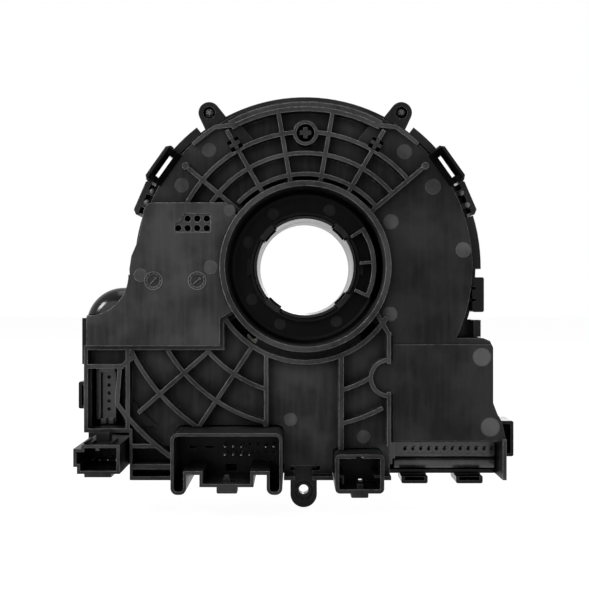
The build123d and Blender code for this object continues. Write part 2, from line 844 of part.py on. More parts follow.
with BuildPart() as front_housing:
    with BuildSketch(level(split_y)):
        add(housing_outline())
    extrude(amount=-lower_depth)
    with BuildSketch(level(split_y)):
        Circle(housing_r)
    extrude(amount=-housing_depth)
    with BuildSketch(level(split_y)):
        add(housing_outline(skirt_t))
        Circle(housing_r - housing_t)
    extrude(amount=-(lower_depth - housing_t), mode=Mode.SUBTRACT)
    with BuildSketch(level(split_y)):
        Circle(housing_r - housing_t)
    extrude(amount=-(housing_depth - housing_t), mode=Mode.SUBTRACT)
    with BuildSketch(level(split_y)):
        Circle(lip_r)
    extrude(amount=-(housing_depth + 1), mode=Mode.SUBTRACT)
    with BuildSketch(level(split_y)):
        add(area(*left_slot))
        add(area(*right_slot))
    extrude(amount=-(lower_depth + 1), mode=Mode.SUBTRACT)
    # Rounded back of the bulge, clear of the cover
    with BuildPart(mode=Mode.PRIVATE) as dome:
        add(bulge_dome())
        revolve(axis=Axis((bulge_x, 0, bulge_z), (0, 1, 0)))
        with BuildSketch(level(0)):
            add(cover_outline(-fit_gap))
        extrude(amount=-split_y, mode=Mode.SUBTRACT)
    add(dome.part)
    # Ledge on the left side, and the wall behind the right edge of the cover
    with BuildSketch(level(floor_top)):
        add(area(body_left - 1.5, body_left - fit_gap, -30.6, -16.1))
        add(area(housing_r - 2.0, housing_r + 0.2, body_shoulder_z - 1.0, -16.7))
        add(sector(disc_r + fit_gap, housing_r + 0.2, -0.7, 17.0))
        add(cover_outline(-fit_gap), mode=Mode.SUBTRACT)
    extrude(amount=-(split_y - floor_top))
    with BuildSketch(level(split_y)):
        add(area(body_left - 1.5, body_left + 0.5, -30.6, -16.1))
        add(area(housing_r - 6.0, housing_r + 0.2, body_shoulder_z - 1.0, -16.7))
        Circle(housing_r - housing_t, mode=Mode.SUBTRACT)
    extrude(amount=-(lower_depth - 1))
    # Deck under the side header, with its pin holes
    with BuildSketch(level(split_y)):
        add(area(side_left - 0.3, corner_x, side_foot_z - 0.6, side_head_z + 0.5))
        for index in range(4):
            add(disc(0.5, side_pin_x + index * pin_pitch, side_pin_z), mode=Mode.SUBTRACT)
    extrude(amount=-housing_t)
    # Bosses under the board
    with BuildSketch(level(split_y)):
        for x, z in board_screw_points:
            add(disc(boss_r, x, z))
            add(disc(screw_r + seat_gap, x, z), mode=Mode.SUBTRACT)
    extrude(amount=-(lower_depth - housing_t + 0.5))
    # Top lugs
    with BuildSketch(level(lug_back)):
        for side in (-1, 1):
            add(lug_outline(side * lug_x, lug_z))
            add(disc(lug_hole_r, side * lug_x, lug_z), mode=Mode.SUBTRACT)
    extrude(amount=-lug_depth)
    # Bottom lug on its neck
    with BuildSketch(level(lug_back)):
        add(area(bottom_lug_x - bottom_lug_r, bottom_lug_x + bottom_lug_r, bottom_lug_z, lug_neck_z))
        add(disc(bottom_lug_r, bottom_lug_x, bottom_lug_z))
        add(disc(bottom_hole_r, bottom_lug_x, bottom_hole_z), mode=Mode.SUBTRACT)
    extrude(amount=-bottom_lug_t)
    with BuildSketch(level(lug_back)):
        add(disc(3.1, bottom_lug_x, bottom_hole_z - 0.3))
        add(disc(2.2, bottom_lug_x, bottom_hole_z), mode=Mode.SUBTRACT)
    extrude(amount=-0.8, mode=Mode.SUBTRACT)
    with BuildSketch(level(lug_back)):
        add(area(bottom_lug_x - bottom_lug_r, bottom_lug_x + bottom_lug_r, body_bottom, lug_neck_z))
    extrude(amount=-(lower_front - lug_back))
    # Snap loops with a slot, their outer bars standing further back
    with BuildSketch(level(loop_back)):
        for angle in (loop_angle, 180 - loop_angle):
            add(rim_block(angle, disc_r + fit_gap, housing_r + 2.2, 11.6))
            add(rim_block(angle, housing_r - 1.3, housing_r + 1.0, 7.7), mode=Mode.SUBTRACT)
            add(rim_block(angle, housing_r + 0.8, housing_r + 3.0, 13.4, chamfered=True))
    extrude(amount=-2.6)
    with BuildSketch(level(loop_back - 1.2)):
        for angle in (loop_angle, 180 - loop_angle):
            add(rim_block(angle, housing_r + 1.2, housing_r + 3.0, 13.4, chamfered=True))
    extrude(amount=-1.5)
    with BuildSketch(level(loop_back)):
        for angle in (loop_angle, 180 - loop_angle):
            for shift in (-4.8, 4.8):
                add(rim_block(angle, disc_r + fit_gap, housing_r + 2.2, 1.9, shift))
        add(cover_outline(-fit_gap), mode=Mode.SUBTRACT)
    extrude(amount=-(split_y - loop_back + 4))
    # Loops on two posts, each with a bar and a foot behind it
    with BuildSketch(level(lug_back)):
        for angle in (post_loop_angle, 180 - post_loop_angle):
            add(rim_block(angle, housing_r + 0.4, housing_r + 2.2, 12.0, chamfered=True))
            for shift in (-2.2, 2.2):
                add(rim_block(angle, disc_r + fit_gap, housing_r + 0.6, 1.6, shift))
        add(cover_outline(-fit_gap), mode=Mode.SUBTRACT)
    extrude(amount=-3.0)
    with BuildSketch(level(lug_back)):
        for angle in (post_loop_angle, 180 - post_loop_angle):
            add(rim_block(angle, housing_r + 0.4, housing_r + 2.2, 12.0, chamfered=True))
    extrude(amount=-11.0)
    with BuildSketch(level(lug_back + 8)):
        for angle in (post_loop_angle, 180 - post_loop_angle):
            add(rim_block(angle, housing_r - 1.5, housing_r + 1.0, 10.0))
    extrude(amount=-3.0)
    # Guard walls beside the top lugs
    with BuildSketch(level(lug_back)):
        for angle in (guard_angle, 180 - guard_angle):
            add(sector(housing_r - 1.4, housing_r + 1.1, angle - 5.4, angle + 5.4))
    extrude(amount=-10.0)
    # Small clips on the sides and along the bottom edge
    with BuildSketch(level(clip_back)):
        add(clip_frames())
        add(cover_outline(-fit_gap), mode=Mode.SUBTRACT)
    extrude(amount=-(split_y - clip_back))
    with BuildSketch(level(split_y)):
        add(clip_frames())
    extrude(amount=-7.0)
    # Clip on the right side of the rim, its web pierced twice
    with BuildSketch(level(clip_back)):
        add(area(*rim_clip, 0.6))
        for z in (-6.7, -10.5):
            add(area(rim_clip[0] - 1, housing_r - 0.7, z - 0.45, z + 0.45), mode=Mode.SUBTRACT)
        add(cover_outline(-fit_gap), mode=Mode.SUBTRACT)
    extrude(amount=-3.0)
    with BuildSketch(level(clip_back)):
        add(area(housing_r - 0.2, *rim_clip[1:], 0.6))
    extrude(amount=-(split_y - clip_back))
    with BuildSketch(level(split_y)):
        add(area(*rim_clip, 0.6))
        Circle(housing_r - housing_t, mode=Mode.SUBTRACT)
    extrude(amount=-7.0)

front_housing.part.label = "front_housing"
export_step(front_housing.part, "parts/front_housing.step")


def main_pins():
    """Places of the main header's pins: top row 1, 2, 3, 6, 7 and bottom row 1 to 4."""
    top = [(main_pin_x + column * pin_pitch, main_pin_z) for column in (0, 1, 2, 5, 6)]
    foot = [(main_pin_x + column * pin_pitch, main_pin_z - pin_pitch) for column in range(4)]
    return top + foot


def side_pins():
    """Places of the side header's four pins."""
    return [(side_pin_x + column * pin_pitch, side_pin_z) for column in range(4)]


def switch_pins():
    """Places of the switch header's four pins."""
    return [(switch_pin_x + column * pin_pitch, switch_pin_z) for column in range(4)]


def gear_centre(teeth, angle):
    """Centre of a sensor gear in mesh with the drive gear."""
    return polar(gear_module * (drive_teeth + teeth) / 2, angle)


gear_a_centre = gear_centre(gear_a_teeth, gear_a_angle)
gear_b_centre = gear_centre(gear_b_teeth, gear_b_angle)

# Cable tray, with the posts that show through the rear cover
with BuildPart() as cable_tray:
    with BuildSketch(level(tray_floor)):
        Circle(tray_wall_r)
        Circle(tray_in_r, mode=Mode.SUBTRACT)
    extrude(amount=-tray_floor_t)
    with BuildSketch(level(tray_floor)):
        Circle(tray_wall_r)
        Circle(tray_wall_r - tray_wall_t, mode=Mode.SUBTRACT)
    extrude(amount=-(lip_back - tray_floor))
    with BuildSketch(level(post_top)):
        for angle in (upper_spokes[1], upper_spokes[4]):
            add(cross(*polar(post_r, angle), post_span, post_web, angle))
        add(cross(0, top_post_z, 3.4, 1.3))
    extrude(amount=-(tray_floor - post_top + 0.5))
    with BuildSketch(level(gear_back + magnet_t + 1.2)):
        add(disc(gear_post_r, *gear_a_centre))
        add(disc(gear_post_r, *gear_b_centre))
    extrude(amount=-(tray_floor - gear_back - magnet_t - 0.7))

cable_tray.part.label = "cable_tray"
export_step(cable_tray.part, "parts/cable_tray.step")

# Circuit board
with BuildPart() as circuit_board:
    with BuildSketch(level(board_back)):
        add(area(board_left, board_right, board_foot_z, board_head_z, 1.5))
        Circle(board_hole_r, mode=Mode.SUBTRACT)
        neck = bottom_lug_r + 1.0
        add(area(bottom_lug_x - neck, bottom_lug_x + neck, board_foot_z - 1, lug_neck_z + 1.0), mode=Mode.SUBTRACT)
        for x, z in board_screw_points:
            add(disc(screw_r + 0.2, x, z), mode=Mode.SUBTRACT)
        for x, z in main_pins() + switch_pins():
            add(disc(0.5, x, z), mode=Mode.SUBTRACT)
    extrude(amount=-board_t)

circuit_board.part.label = "circuit_board"
export_step(circuit_board.part, "parts/circuit_board.step")


# Main header
def main_section(inset=0.0):
    """Section of the main header: a wide mouth with a leg at each end and two key notches."""
    with BuildSketch() as section:
        add(area(main_left + inset, main_right - inset, main_foot_z + inset, main_head_z - inset, 2.2 - inset))
        inner_left = main_left + main_leg_width
        inner_right = main_right - main_leg_width
        for left, right in ((main_left, inner_left), (inner_right, main_right)):
            add(area(left + inset, right - inset, main_leg_z + inset, -60.0, 2.0 - inset))
        for left, right in ((inner_left, inner_left + key_width_x), (inner_right - key_width_x, inner_right)):
            add(area(left - inset, right + inset, main_leg_z - 2, key_head_z + inset), mode=Mode.SUBTRACT)
    return section.sketch


with BuildPart() as main_header:
    with BuildSketch(level(main_mouth)):
        add(main_section())
    extrude(amount=-(header_floor - main_mouth))
    with BuildSketch(level(header_floor)):
        add(area(main_left, main_right, main_foot_z, main_head_z, 2.2))
        for left in (main_left, main_right - main_leg_width):
            add(area(left, left + main_leg_width, main_leg_z, -60.0, 2.0))
    extrude(amount=-(board_back - header_floor))
    with BuildSketch(level(main_mouth)):
        add(main_section(main_wall))
    extrude(amount=-(header_floor - main_mouth), mode=Mode.SUBTRACT)
    # Latch ramp inside and tab outside the mouth's lower wall
    with BuildSketch(level(main_mouth)):
        add(area(-26.6, -20.4, main_foot_z - 1.9, main_foot_z + 0.3, 0.5))
    extrude(amount=-4)
    with BuildSketch(level(main_mouth + 3)):
        add(area(-24.8, -22.6, main_foot_z + 0.3, main_foot_z + 2.0))
        add(area(-24.3, -23.1, main_foot_z + 1.8, main_foot_z + 3.0))
    extrude(amount=-3)
    with BuildSketch(level(main_mouth + 3)):
        add(area(-22.3, -21.0, main_foot_z - 0.2, main_foot_z + main_wall + 0.1))
    extrude(amount=-5, mode=Mode.SUBTRACT)
    # Pin holes, empty ones too, blade slots and the window behind the latch
    with BuildSketch(level(header_floor)):
        for column in range(7):
            for row in range(2):
                with Locations((main_pin_x + column * pin_pitch, main_pin_z - row * pin_pitch)):
                    Rectangle(pin_width + 2 * seat_gap, pin_width + 2 * seat_gap)
        add(area(-37.0, -34.7, -57.3, -56.7))
        add(area(-31.8, -28.9, -57.3, -56.7))
        add(area(-25.2, -21.6, -64.6, -62.4))
    extrude(amount=-(board_back - header_floor), mode=Mode.SUBTRACT)

main_header.part.label = "main_header"
export_step(main_header.part, "parts/main_header.step")

with BuildPart() as main_header_pins:
    with BuildSketch(level(pin_tip)):
        with Locations(*main_pins()):
            Rectangle(pin_width, pin_width)
    extrude(amount=-(split_y + 0.8 - pin_tip))

main_header_pins.part.label = "main_header_pins"
export_step(main_header_pins.part, "parts/main_header_pins.step")


# Side header
def side_section(inset=0.0):
    """Section of the side header, stepped at the upper and lower left corners."""
    with BuildSketch() as section:
        add(area(side_left + inset, side_right - inset, -60.3 + inset, -54.9 - inset))
        add(area(side_left + 2.4 + inset, side_right - inset, -60.3, side_head_z - inset))
        add(area(side_left + 1.1 + inset, side_right - inset, side_foot_z + inset, -56.0))
    return section.sketch


with BuildPart() as side_header:
    with BuildSketch(level(side_mouth)):
        add(side_section())
    extrude(amount=-(split_y - side_mouth))
    with BuildSketch(level(side_mouth)):
        add(side_section(side_wall))
    extrude(amount=-(header_floor - side_mouth), mode=Mode.SUBTRACT)
    with BuildSketch(level(header_floor)):
        with Locations(*side_pins()):
            Rectangle(pin_width + 2 * seat_gap, pin_width + 2 * seat_gap)
    extrude(amount=-(split_y - header_floor), mode=Mode.SUBTRACT)
    with BuildSketch(level(side_mouth)):
        add(area(-62.8, -61.8, side_head_z - side_wall - 0.8, side_head_z - 0.3))
        add(area(-66.3, -58.2, side_foot_z - 1.0, side_foot_z + 0.3))
    extrude(amount=-6)
    # Latch seat and guide ribs on the top wall
    with BuildSketch(level(side_mouth + 5)):
        add(area(-63.6, -59.8, side_head_z - 0.3, corner_z + 0.7, 0.3))
    extrude(amount=-(-0.3 - side_mouth - 5))
    with BuildSketch(level(side_mouth + 1)):
        for left in (-66.6, -64.6, -58.6):
            add(area(left, left + 0.7, side_head_z - 0.3, side_head_z + 0.7))
    extrude(amount=-(-0.3 - side_mouth - 1))

side_header.part.label = "side_header"
export_step(side_header.part, "parts/side_header.step")

with BuildPart() as side_header_pins:
    with BuildSketch(level(pin_tip)):
        with Locations(*side_pins()):
            Rectangle(pin_width, pin_width)
    extrude(amount=-(split_y + 1.4 - pin_tip))

side_header_pins.part.label = "side_header_pins"
export_step(side_header_pins.part, "parts/side_header_pins.step")

# Switch header
with BuildPart() as switch_header:
    with BuildSketch(level(switch_mouth)):
        add(area(switch_left, switch_right, switch_foot_z, switch_head_z, 1.5))
    extrude(amount=-(board_back - switch_mouth))
    with BuildSketch(level(switch_mouth)):
        add(
            area(
                switch_left + switch_wall,
                switch_right - switch_wall,
                switch_foot_z + switch_wall,
                switch_head_z - switch_wall,
                0.3,
            )
        )
        middle = (switch_left + switch_right) / 2
        add(area(middle - 1.1, middle + 1.1, switch_head_z - switch_wall - 0.5, switch_head_z - 0.5))
    extrude(amount=-(header_floor - switch_mouth), mode=Mode.SUBTRACT)
    # Side rails, latch ramp and the foot under the mouth
    with BuildSketch(level(switch_mouth + 1)):
        add(area(switch_left + 0.5, switch_left + switch_wall + 1.5, -64.4, -63.6))
        add(area(switch_left + switch_wall + 0.9, switch_left + switch_wall + 1.5, -66.2, -63.6))
        add(area(switch_right - switch_wall - 1.7, switch_right - 0.5, -64.4, -63.6))
    extrude(amount=-(header_floor - switch_mouth - 0.5))
    with BuildSketch(level(switch_mouth + 1)):
        add(area(15.6, 17.4, switch_foot_z + 0.5, -66.3))
    extrude(amount=-switch_ramp)
    with BuildSketch(level(switch_mouth)):
        add(area(13.7, 19.0, switch_foot_z - 1.3, switch_foot_z + 0.4, 0.5))
    extrude(amount=-5)
    with BuildSketch(level(header_floor)):
        with Locations(*switch_pins()):
            Rectangle(pin_width + 2 * seat_gap, pin_width + 2 * seat_gap)
        add(area(16.8, 18.1, -68.2, -67.2), mode=Mode.ADD)
    extrude(amount=-(board_back - header_floor), mode=Mode.SUBTRACT)

switch_header.part.label = "switch_header"
export_step(switch_header.part, "parts/switch_header.step")

with BuildPart() as switch_header_pins:
    with BuildSketch(level(pin_tip)):
        with Locations(*switch_pins()):
            Rectangle(pin_width, pin_width)
    extrude(amount=-(split_y + 0.8 - pin_tip))

switch_header_pins.part.label = "switch_header_pins"
export_step(switch_header_pins.part, "parts/switch_header_pins.step")



# Contact strips
def strip_points(x, z, count, pitch, across):
    """Places of the contacts of one strip, in a row along X or down along Z."""
    if across:
        return [(x + index * pitch, z) for index in range(count)]
    return [(x, z - index * pitch) for index in range(count)]


strip_front = lower_front - housing_t
left_points = strip_points(strip_left_x, strip_left_z, strip_left_count, strip_pitch, False)
right_points = strip_points(strip_right_x, strip_right_z, strip_right_count, pin_pitch, True)

with BuildPart() as left_contact_strip:
    with BuildSketch(level(strip_top)):
        add(area(-65.0, -60.7, corner_z + skirt_t + fit_gap, -33.0))
        for x, z in left_points:
            add(disc(strip_hole_r, x, z), mode=Mode.SUBTRACT)
    extrude(amount=-(strip_front - strip_top))
    with BuildSketch(level(strip_top - 2)):
        add(area(-66.6, -65.2, -48.5, -33.0, 0.6))
        add(area(-66.6, -60.7, -33.6, -32.2, 0.6))
        add(area(-65.2, -63.5, -50.0, -48.2))
        add(area(-62.6, -61.2, -50.0, -48.2))
    extrude(amount=-(strip_front - strip_top + 2))
    with BuildSketch(level(strip_top + 6)):
        add(area(-66.0, -64.0, -48.0, -34.5))
    extrude(amount=-(strip_front - strip_top - 6))

left_contact_strip.part.label = "left_contact_strip"
export_step(left_contact_strip.part, "parts/left_contact_strip.step")

with BuildPart() as right_contact_strip:
    left = right_window_x + 2.0
    with BuildSketch(level(strip_top)):
        add(area(left, strip_right_end, -60.6, right_window_head_z - fit_gap))
        for x, z in right_points:
            add(disc(strip_hole_r, x, z), mode=Mode.SUBTRACT)
            with Locations((x, z + strip_hole_r)):
                Triangle(c=1.9, a=1.2, b=1.2, rotation=180, mode=Mode.SUBTRACT)
    extrude(amount=-1.2)
    with BuildSketch(level(strip_top + 1.2)):
        add(area(left, strip_right_end, -60.6, right_window_head_z - fit_gap))
        for x, z in right_points:
            add(disc(strip_hole_r, x, z), mode=Mode.SUBTRACT)
    extrude(amount=-(strip_front - strip_top - 1.2))
    with BuildSketch(level(strip_top + 2)):
        add(area(left, strip_right_end, rail_z - rail_r, -60.2))
    extrude(amount=-(strip_front - strip_top - 2))
    with BuildSketch(Plane.YZ.offset(left)):
        with Locations((strip_top + 2, rail_z)):
            Circle(rail_r)
    extrude(amount=strip_right_end - left)
    # Latch post at the left end
    with BuildSketch(level(strip_top - 2)):
        add(area(right_window_x + 0.4, left + 0.1, -61.0, right_window_head_z - fit_gap))
        add(area(right_window_x + 0.4, left - 0.8, -62.8, -61.0))
    extrude(amount=-(strip_front - strip_top + 2))

right_contact_strip.part.label = "right_contact_strip"
export_step(right_contact_strip.part, "parts/right_contact_strip.step")

with BuildPart() as strip_contacts:
    with BuildSketch(level(strip_top + strip_contact_depth)):
        for x, z in left_points + right_points:
            add(disc(strip_hole_r - seat_gap, x, z))
    extrude(amount=-(strip_front - strip_top - strip_contact_depth))

strip_contacts.part.label = "strip_contacts"
export_step(strip_contacts.part, "parts/strip_contacts.step")

# Screws
for name, side in (("lug_screw_left", -1), ("lug_screw_right", 1)):
    with BuildPart() as lug_screw:
        with BuildSketch(level(lug_back + 0.8)):
            add(disc(1.3, side * lug_x, lug_z))
        extrude(amount=-(lug_depth - 0.8))
        with BuildSketch(level(lug_back + lug_depth)):
            add(disc(2.6, side * lug_x, lug_z))
        extrude(amount=-2.0)
        with BuildSketch(level(lug_back + lug_depth + 2.0)):
            add(cross(side * lug_x, lug_z, 3.2, 0.8))
        extrude(amount=1.0, mode=Mode.SUBTRACT)
    lug_screw.part.label = name
    export_step(lug_screw.part, f"parts/{name}.step")

with BuildPart() as board_screws:
    with BuildSketch(level(board_back)):
        for x, z in board_screw_points:
            add(disc(screw_r, x, z))
    extrude(amount=-6)
    with BuildSketch(level(board_back - screw_head_t)):
        for x, z in board_screw_points:
            add(disc(screw_head_r, x, z))
    extrude(amount=-screw_head_t)
    with BuildSketch(level(board_back - screw_head_t)):
        for x, z in board_screw_points:
            add(cross(x, z, 2.2, 0.6))
    extrude(amount=-0.7, mode=Mode.SUBTRACT)

board_screws.part.label = "board_screws"
export_step(board_screws.part, "parts/board_screws.step")

# Sensor chips on the wheel side of the board
with BuildPart() as angle_chips:
    with BuildSketch(level(split_y)):
        with Locations(gear_a_centre, gear_b_centre):
            Rectangle(4.4, 4.9)
        with Locations((-30.0, -46.0)):
            Rectangle(9.0, 9.0)
    extrude(amount=-0.9)

angle_chips.part.label = "angle_chips"
export_step(angle_chips.part, "parts/angle_chips.step")


# Rotor
def rotor_profile():
    """Half section of the hub: tube, shoulder, cable drum, front disc and its skirt."""
    with BuildSketch(Plane.XY) as profile:
        with BuildLine():
            Polyline(
                (bore_r, tube_back),
                (tube_r, tube_back),
                (tube_r, gear_front + seat_gap),
                (shoulder_r, gear_front + seat_gap),
                (shoulder_r, gear_front + seat_gap + shoulder_t),
                (tube_r + 0.8, gear_front + seat_gap + shoulder_t),
                (tube_r + 0.8, disc_back),
                (drum_r - drum_t, disc_back),
                (drum_r - drum_t, drum_back),
                (drum_r, drum_back),
                (drum_r, disc_back),
                (rotor_disc_r - rotor_skirt_t, disc_back),
                (rotor_disc_r - rotor_skirt_t, housing_front + running_gap),
                (rotor_disc_r, housing_front + running_gap),
                (rotor_disc_r, disc_front - 1.0),
                (rotor_disc_r - 1.0, disc_front),
                (front_collar_r, disc_front),
                (front_collar_r, front_collar_y),
                (bore_r, front_collar_y),
                close=True,
            )
        make_face()
    return profile.sketch


with BuildPart() as rotor_hub:
    add(rotor_profile())
    revolve(axis=Axis.Y)
    # Ribs and locating bosses on the front disc
    with BuildSketch(level(disc_front)):
        for index in range(12):
            add(spoke(front_collar_r + 0.2, rotor_disc_r - 3.0, 15 + 30 * index, 1.2))
        add(sector(rotor_disc_r - 4.2, rotor_disc_r - 3.0, 0, 180))
        add(sector(rotor_disc_r - 4.2, rotor_disc_r - 3.0, 180, 360))
        for left, right, foot, head in (airbag_area, wheel_area):
            add(area(left - 0.6, right + 0.6, foot - 0.6, head + 0.6), mode=Mode.SUBTRACT)
    extrude(amount=-(rotor_rib_top - disc_front))
    with BuildSketch(level(disc_front)):
        for side in (-1, 1):
            add(disc(2.6, side * 33.0, 0))
    extrude(amount=-4.0)
    # Keys that drive the gear
    with BuildSketch(level(gear_back)):
        for side in (-1, 1):
            add(area(-key_width / 2, key_width / 2, side * key_r, side * (bore_r + 0.3)))
    extrude(amount=-gear_t)
    # Snap fingers at the back end, hooked over the cover's collar
    with BuildSketch(level(tube_back)):
        for angle in finger_angles:
            add(sector(bore_r, hook_r, angle - finger_half_angle, angle + finger_half_angle))
    extrude(amount=-1.0)
    with BuildSketch(level(tube_back - 1)):
        for angle in finger_angles:
            for edge in (-1, 1):
                middle = angle + edge * (finger_half_angle + 1.3)
                add(sector(bore_r - 1, hook_r + 1, middle - 1.3, middle + 1.3))
    extrude(amount=-7.0, mode=Mode.SUBTRACT)

rotor_hub.part.label = "rotor_hub"
export_step(rotor_hub.part, "parts/rotor_hub.step")


# Sensor gears
def gear_section(teeth, phase):
    """Straight-flanked teeth, thinned at the pitch circle for backlash."""
    pitch_r = gear_module * teeth / 2
    with BuildSketch() as section:
        Circle(pitch_r - 1.15 * gear_module)
        with PolarLocations(pitch_r, teeth, start_angle=phase):
            Polygon(
                (-1.4 * gear_module, -0.85 * gear_module),
                (0.8 * gear_module, -0.27 * gear_module),
                (0.8 * gear_module, 0.27 * gear_module),
                (-1.4 * gear_module, 0.85 * gear_module),
                align=None,
            )
    return section.sketch


def meshing_phase(teeth, angle):
    """Turn of a sensor gear that puts a tooth space against the drive gear's tooth."""
    drive_step = 360 / drive_teeth
    offset = (angle - gear_a_angle) % drive_step
    return angle + 180 + offset * drive_teeth / teeth + 180 / teeth


with BuildPart() as angle_gear:
    with BuildSketch(level(gear_back)):
        add(gear_section(drive_teeth, gear_a_angle))
        Circle(tube_r + seat_gap, mode=Mode.SUBTRACT)
        for side in (-1, 1):
            slot = key_width / 2 + seat_gap
            add(area(-slot, slot, side * (key_r + seat_gap), side * bore_r), mode=Mode.SUBTRACT)
    extrude(amount=-gear_t)
    with BuildSketch(level(split_y + running_gap)):
        Circle(shoulder_r)
        Circle(key_r + 0.2, mode=Mode.SUBTRACT)
    extrude(amount=-(gear_back - split_y - running_gap + 0.5))

angle_gear.part.label = "angle_gear"
export_step(angle_gear.part, "parts/angle_gear.step")

for name, teeth, angle in (("a", gear_a_teeth, gear_a_angle), ("b", gear_b_teeth, gear_b_angle)):
    centre = gear_centre(teeth, angle)
    with BuildPart() as sensor_gear:
        with BuildSketch(level(gear_back)):
            with Locations(centre):
                add(gear_section(teeth, meshing_phase(teeth, angle)))
        extrude(amount=-gear_t)
        with BuildSketch(level(gear_front)):
            add(disc(3.2, *centre))
        extrude(amount=-(tray_floor - gear_front - fit_gap))
        with BuildSketch(level(gear_back)):
            add(disc(magnet_r + seat_gap, *centre))
        extrude(amount=-magnet_t, mode=Mode.SUBTRACT)
        with BuildSketch(level(gear_back + magnet_t + 0.9)):
            add(disc(gear_post_r + 0.1, *centre))
        extrude(amount=-10, mode=Mode.SUBTRACT)
    sensor_gear.part.label = f"sensor_gear_{name}"
    export_step(sensor_gear.part, f"parts/sensor_gear_{name}.step")
    with BuildPart() as magnet:
        with BuildSketch(level(gear_back)):
            add(disc(magnet_r, *centre))
        extrude(amount=-magnet_t)
    magnet.part.label = f"magnet_{name}"
    export_step(magnet.part, f"parts/magnet_{name}.step")


# Flat cable, wound from the rotor's drum to the wall of the tray
def cable_section():
    """Ribbon seen along the axis: half circles whose centres step from side to side."""
    half_pitch = cable_pitch / 2
    inner_edges = []
    outer_edges = []
    with BuildSketch() as section:
        with BuildLine():
            for index in range(2 * cable_turns):
                radius = cable_start_r + index * half_pitch
                centre = (half_pitch * (index % 2), 0)
                start = 180 * (index % 2)
                inner_edges.append(CenterArc(centre, radius - cable_t / 2, start, 180))
                outer_edges.append(CenterArc(centre, radius + cable_t / 2, start, 180))
            Line(inner_edges[0] @ 0, outer_edges[0] @ 0)
            Line(inner_edges[-1] @ 1, outer_edges[-1] @ 1)
        make_face()
    return section.sketch


with BuildPart() as flat_cable:
    with BuildSketch(level(cable_back)):
        add(cable_section())
    extrude(amount=-cable_width)

flat_cable.part.label = "flat_cable"
export_step(flat_cable.part, "parts/flat_cable.step")

# Terminals at the two ends of the cable
with BuildPart() as rotor_terminal:
    with BuildSketch(level(cable_back)):
        add(sector(drum_r + seat_gap, cable_start_r - cable_t / 2 - seat_gap, -9, 9))
    extrude(amount=-cable_width)

rotor_terminal.part.label = "rotor_terminal"
export_step(rotor_terminal.part, "parts/rotor_terminal.step")

with BuildPart() as tray_terminal:
    cable_end_r = cable_start_r + cable_turns * cable_pitch
    with BuildSketch(level(cable_back)):
        add(sector(cable_end_r + cable_t / 2 + seat_gap, tray_wall_r - tray_wall_t - seat_gap, -7, 7))
    extrude(amount=-cable_width)

tray_terminal.part.label = "tray_terminal"
export_step(tray_terminal.part, "parts/tray_terminal.step")


# Sockets on the wheel side of the rotor
def socket_section(left, right, foot, head, inset=0.0):
    """Rounded socket wall, or its inside."""
    return area(left + inset, right - inset, foot + inset, head - inset, 1.5 - inset)


with BuildPart() as airbag_socket:
    with BuildSketch(level(disc_front)):
        add(socket_section(*airbag_area))
    extrude(amount=-airbag_depth)
    with BuildSketch(level(disc_front + socket_floor)):
        left, right, foot, head = airbag_area
        add(area(left + 1.0, -0.6, foot + 1.0, head - 1.0, 0.5))
        add(area(0.6, right - 1.0, foot + 1.0, head - 1.0, 0.5))
    extrude(amount=-airbag_depth, mode=Mode.SUBTRACT)

airbag_socket.part.label = "airbag_socket"
export_step(airbag_socket.part, "parts/airbag_socket.step")

with BuildPart() as airbag_pins:
    with BuildSketch(level(disc_front + socket_floor)):
        left, right, foot, head = airbag_area
        for side in (-1, 1):
            for step in (-1, 1):
                with Locations((side * 5.7 + step * 1.27, (foot + head) / 2)):
                    Rectangle(pin_width, pin_width)
    extrude(amount=-socket_pin)

airbag_pins.part.label = "airbag_pins"
export_step(airbag_pins.part, "parts/airbag_pins.step")

with BuildPart() as wheel_header:
    with BuildSketch(level(disc_front)):
        add(socket_section(*wheel_area))
    extrude(amount=-wheel_depth)
    with BuildSketch(level(disc_front + socket_floor)):
        add(socket_section(*wheel_area, 1.0))
    extrude(amount=-wheel_depth, mode=Mode.SUBTRACT)

wheel_header.part.label = "wheel_header"
export_step(wheel_header.part, "parts/wheel_header.step")

with BuildPart() as wheel_header_pins:
    with BuildSketch(level(disc_front + socket_floor)):
        left, right, foot, head = wheel_area
        with Locations(((left + right) / 2, (foot + head) / 2)):
            with GridLocations(pin_pitch, pin_pitch, 6, 2):
                Rectangle(pin_width, pin_width)
    extrude(amount=-socket_pin)

wheel_header_pins.part.label = "wheel_header_pins"
export_step(wheel_header_pins.part, "parts/wheel_header_pins.step")
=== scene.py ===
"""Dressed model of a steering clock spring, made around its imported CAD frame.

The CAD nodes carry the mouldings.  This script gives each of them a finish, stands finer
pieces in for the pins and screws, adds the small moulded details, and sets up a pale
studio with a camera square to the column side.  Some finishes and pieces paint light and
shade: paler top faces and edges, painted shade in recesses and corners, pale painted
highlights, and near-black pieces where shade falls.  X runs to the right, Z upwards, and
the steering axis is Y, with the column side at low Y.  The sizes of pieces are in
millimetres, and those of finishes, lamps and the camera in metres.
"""
import logging
import math
from dataclasses import dataclass, field
from enum import Enum

import bmesh
import bpy
from mathutils import Matrix, Vector


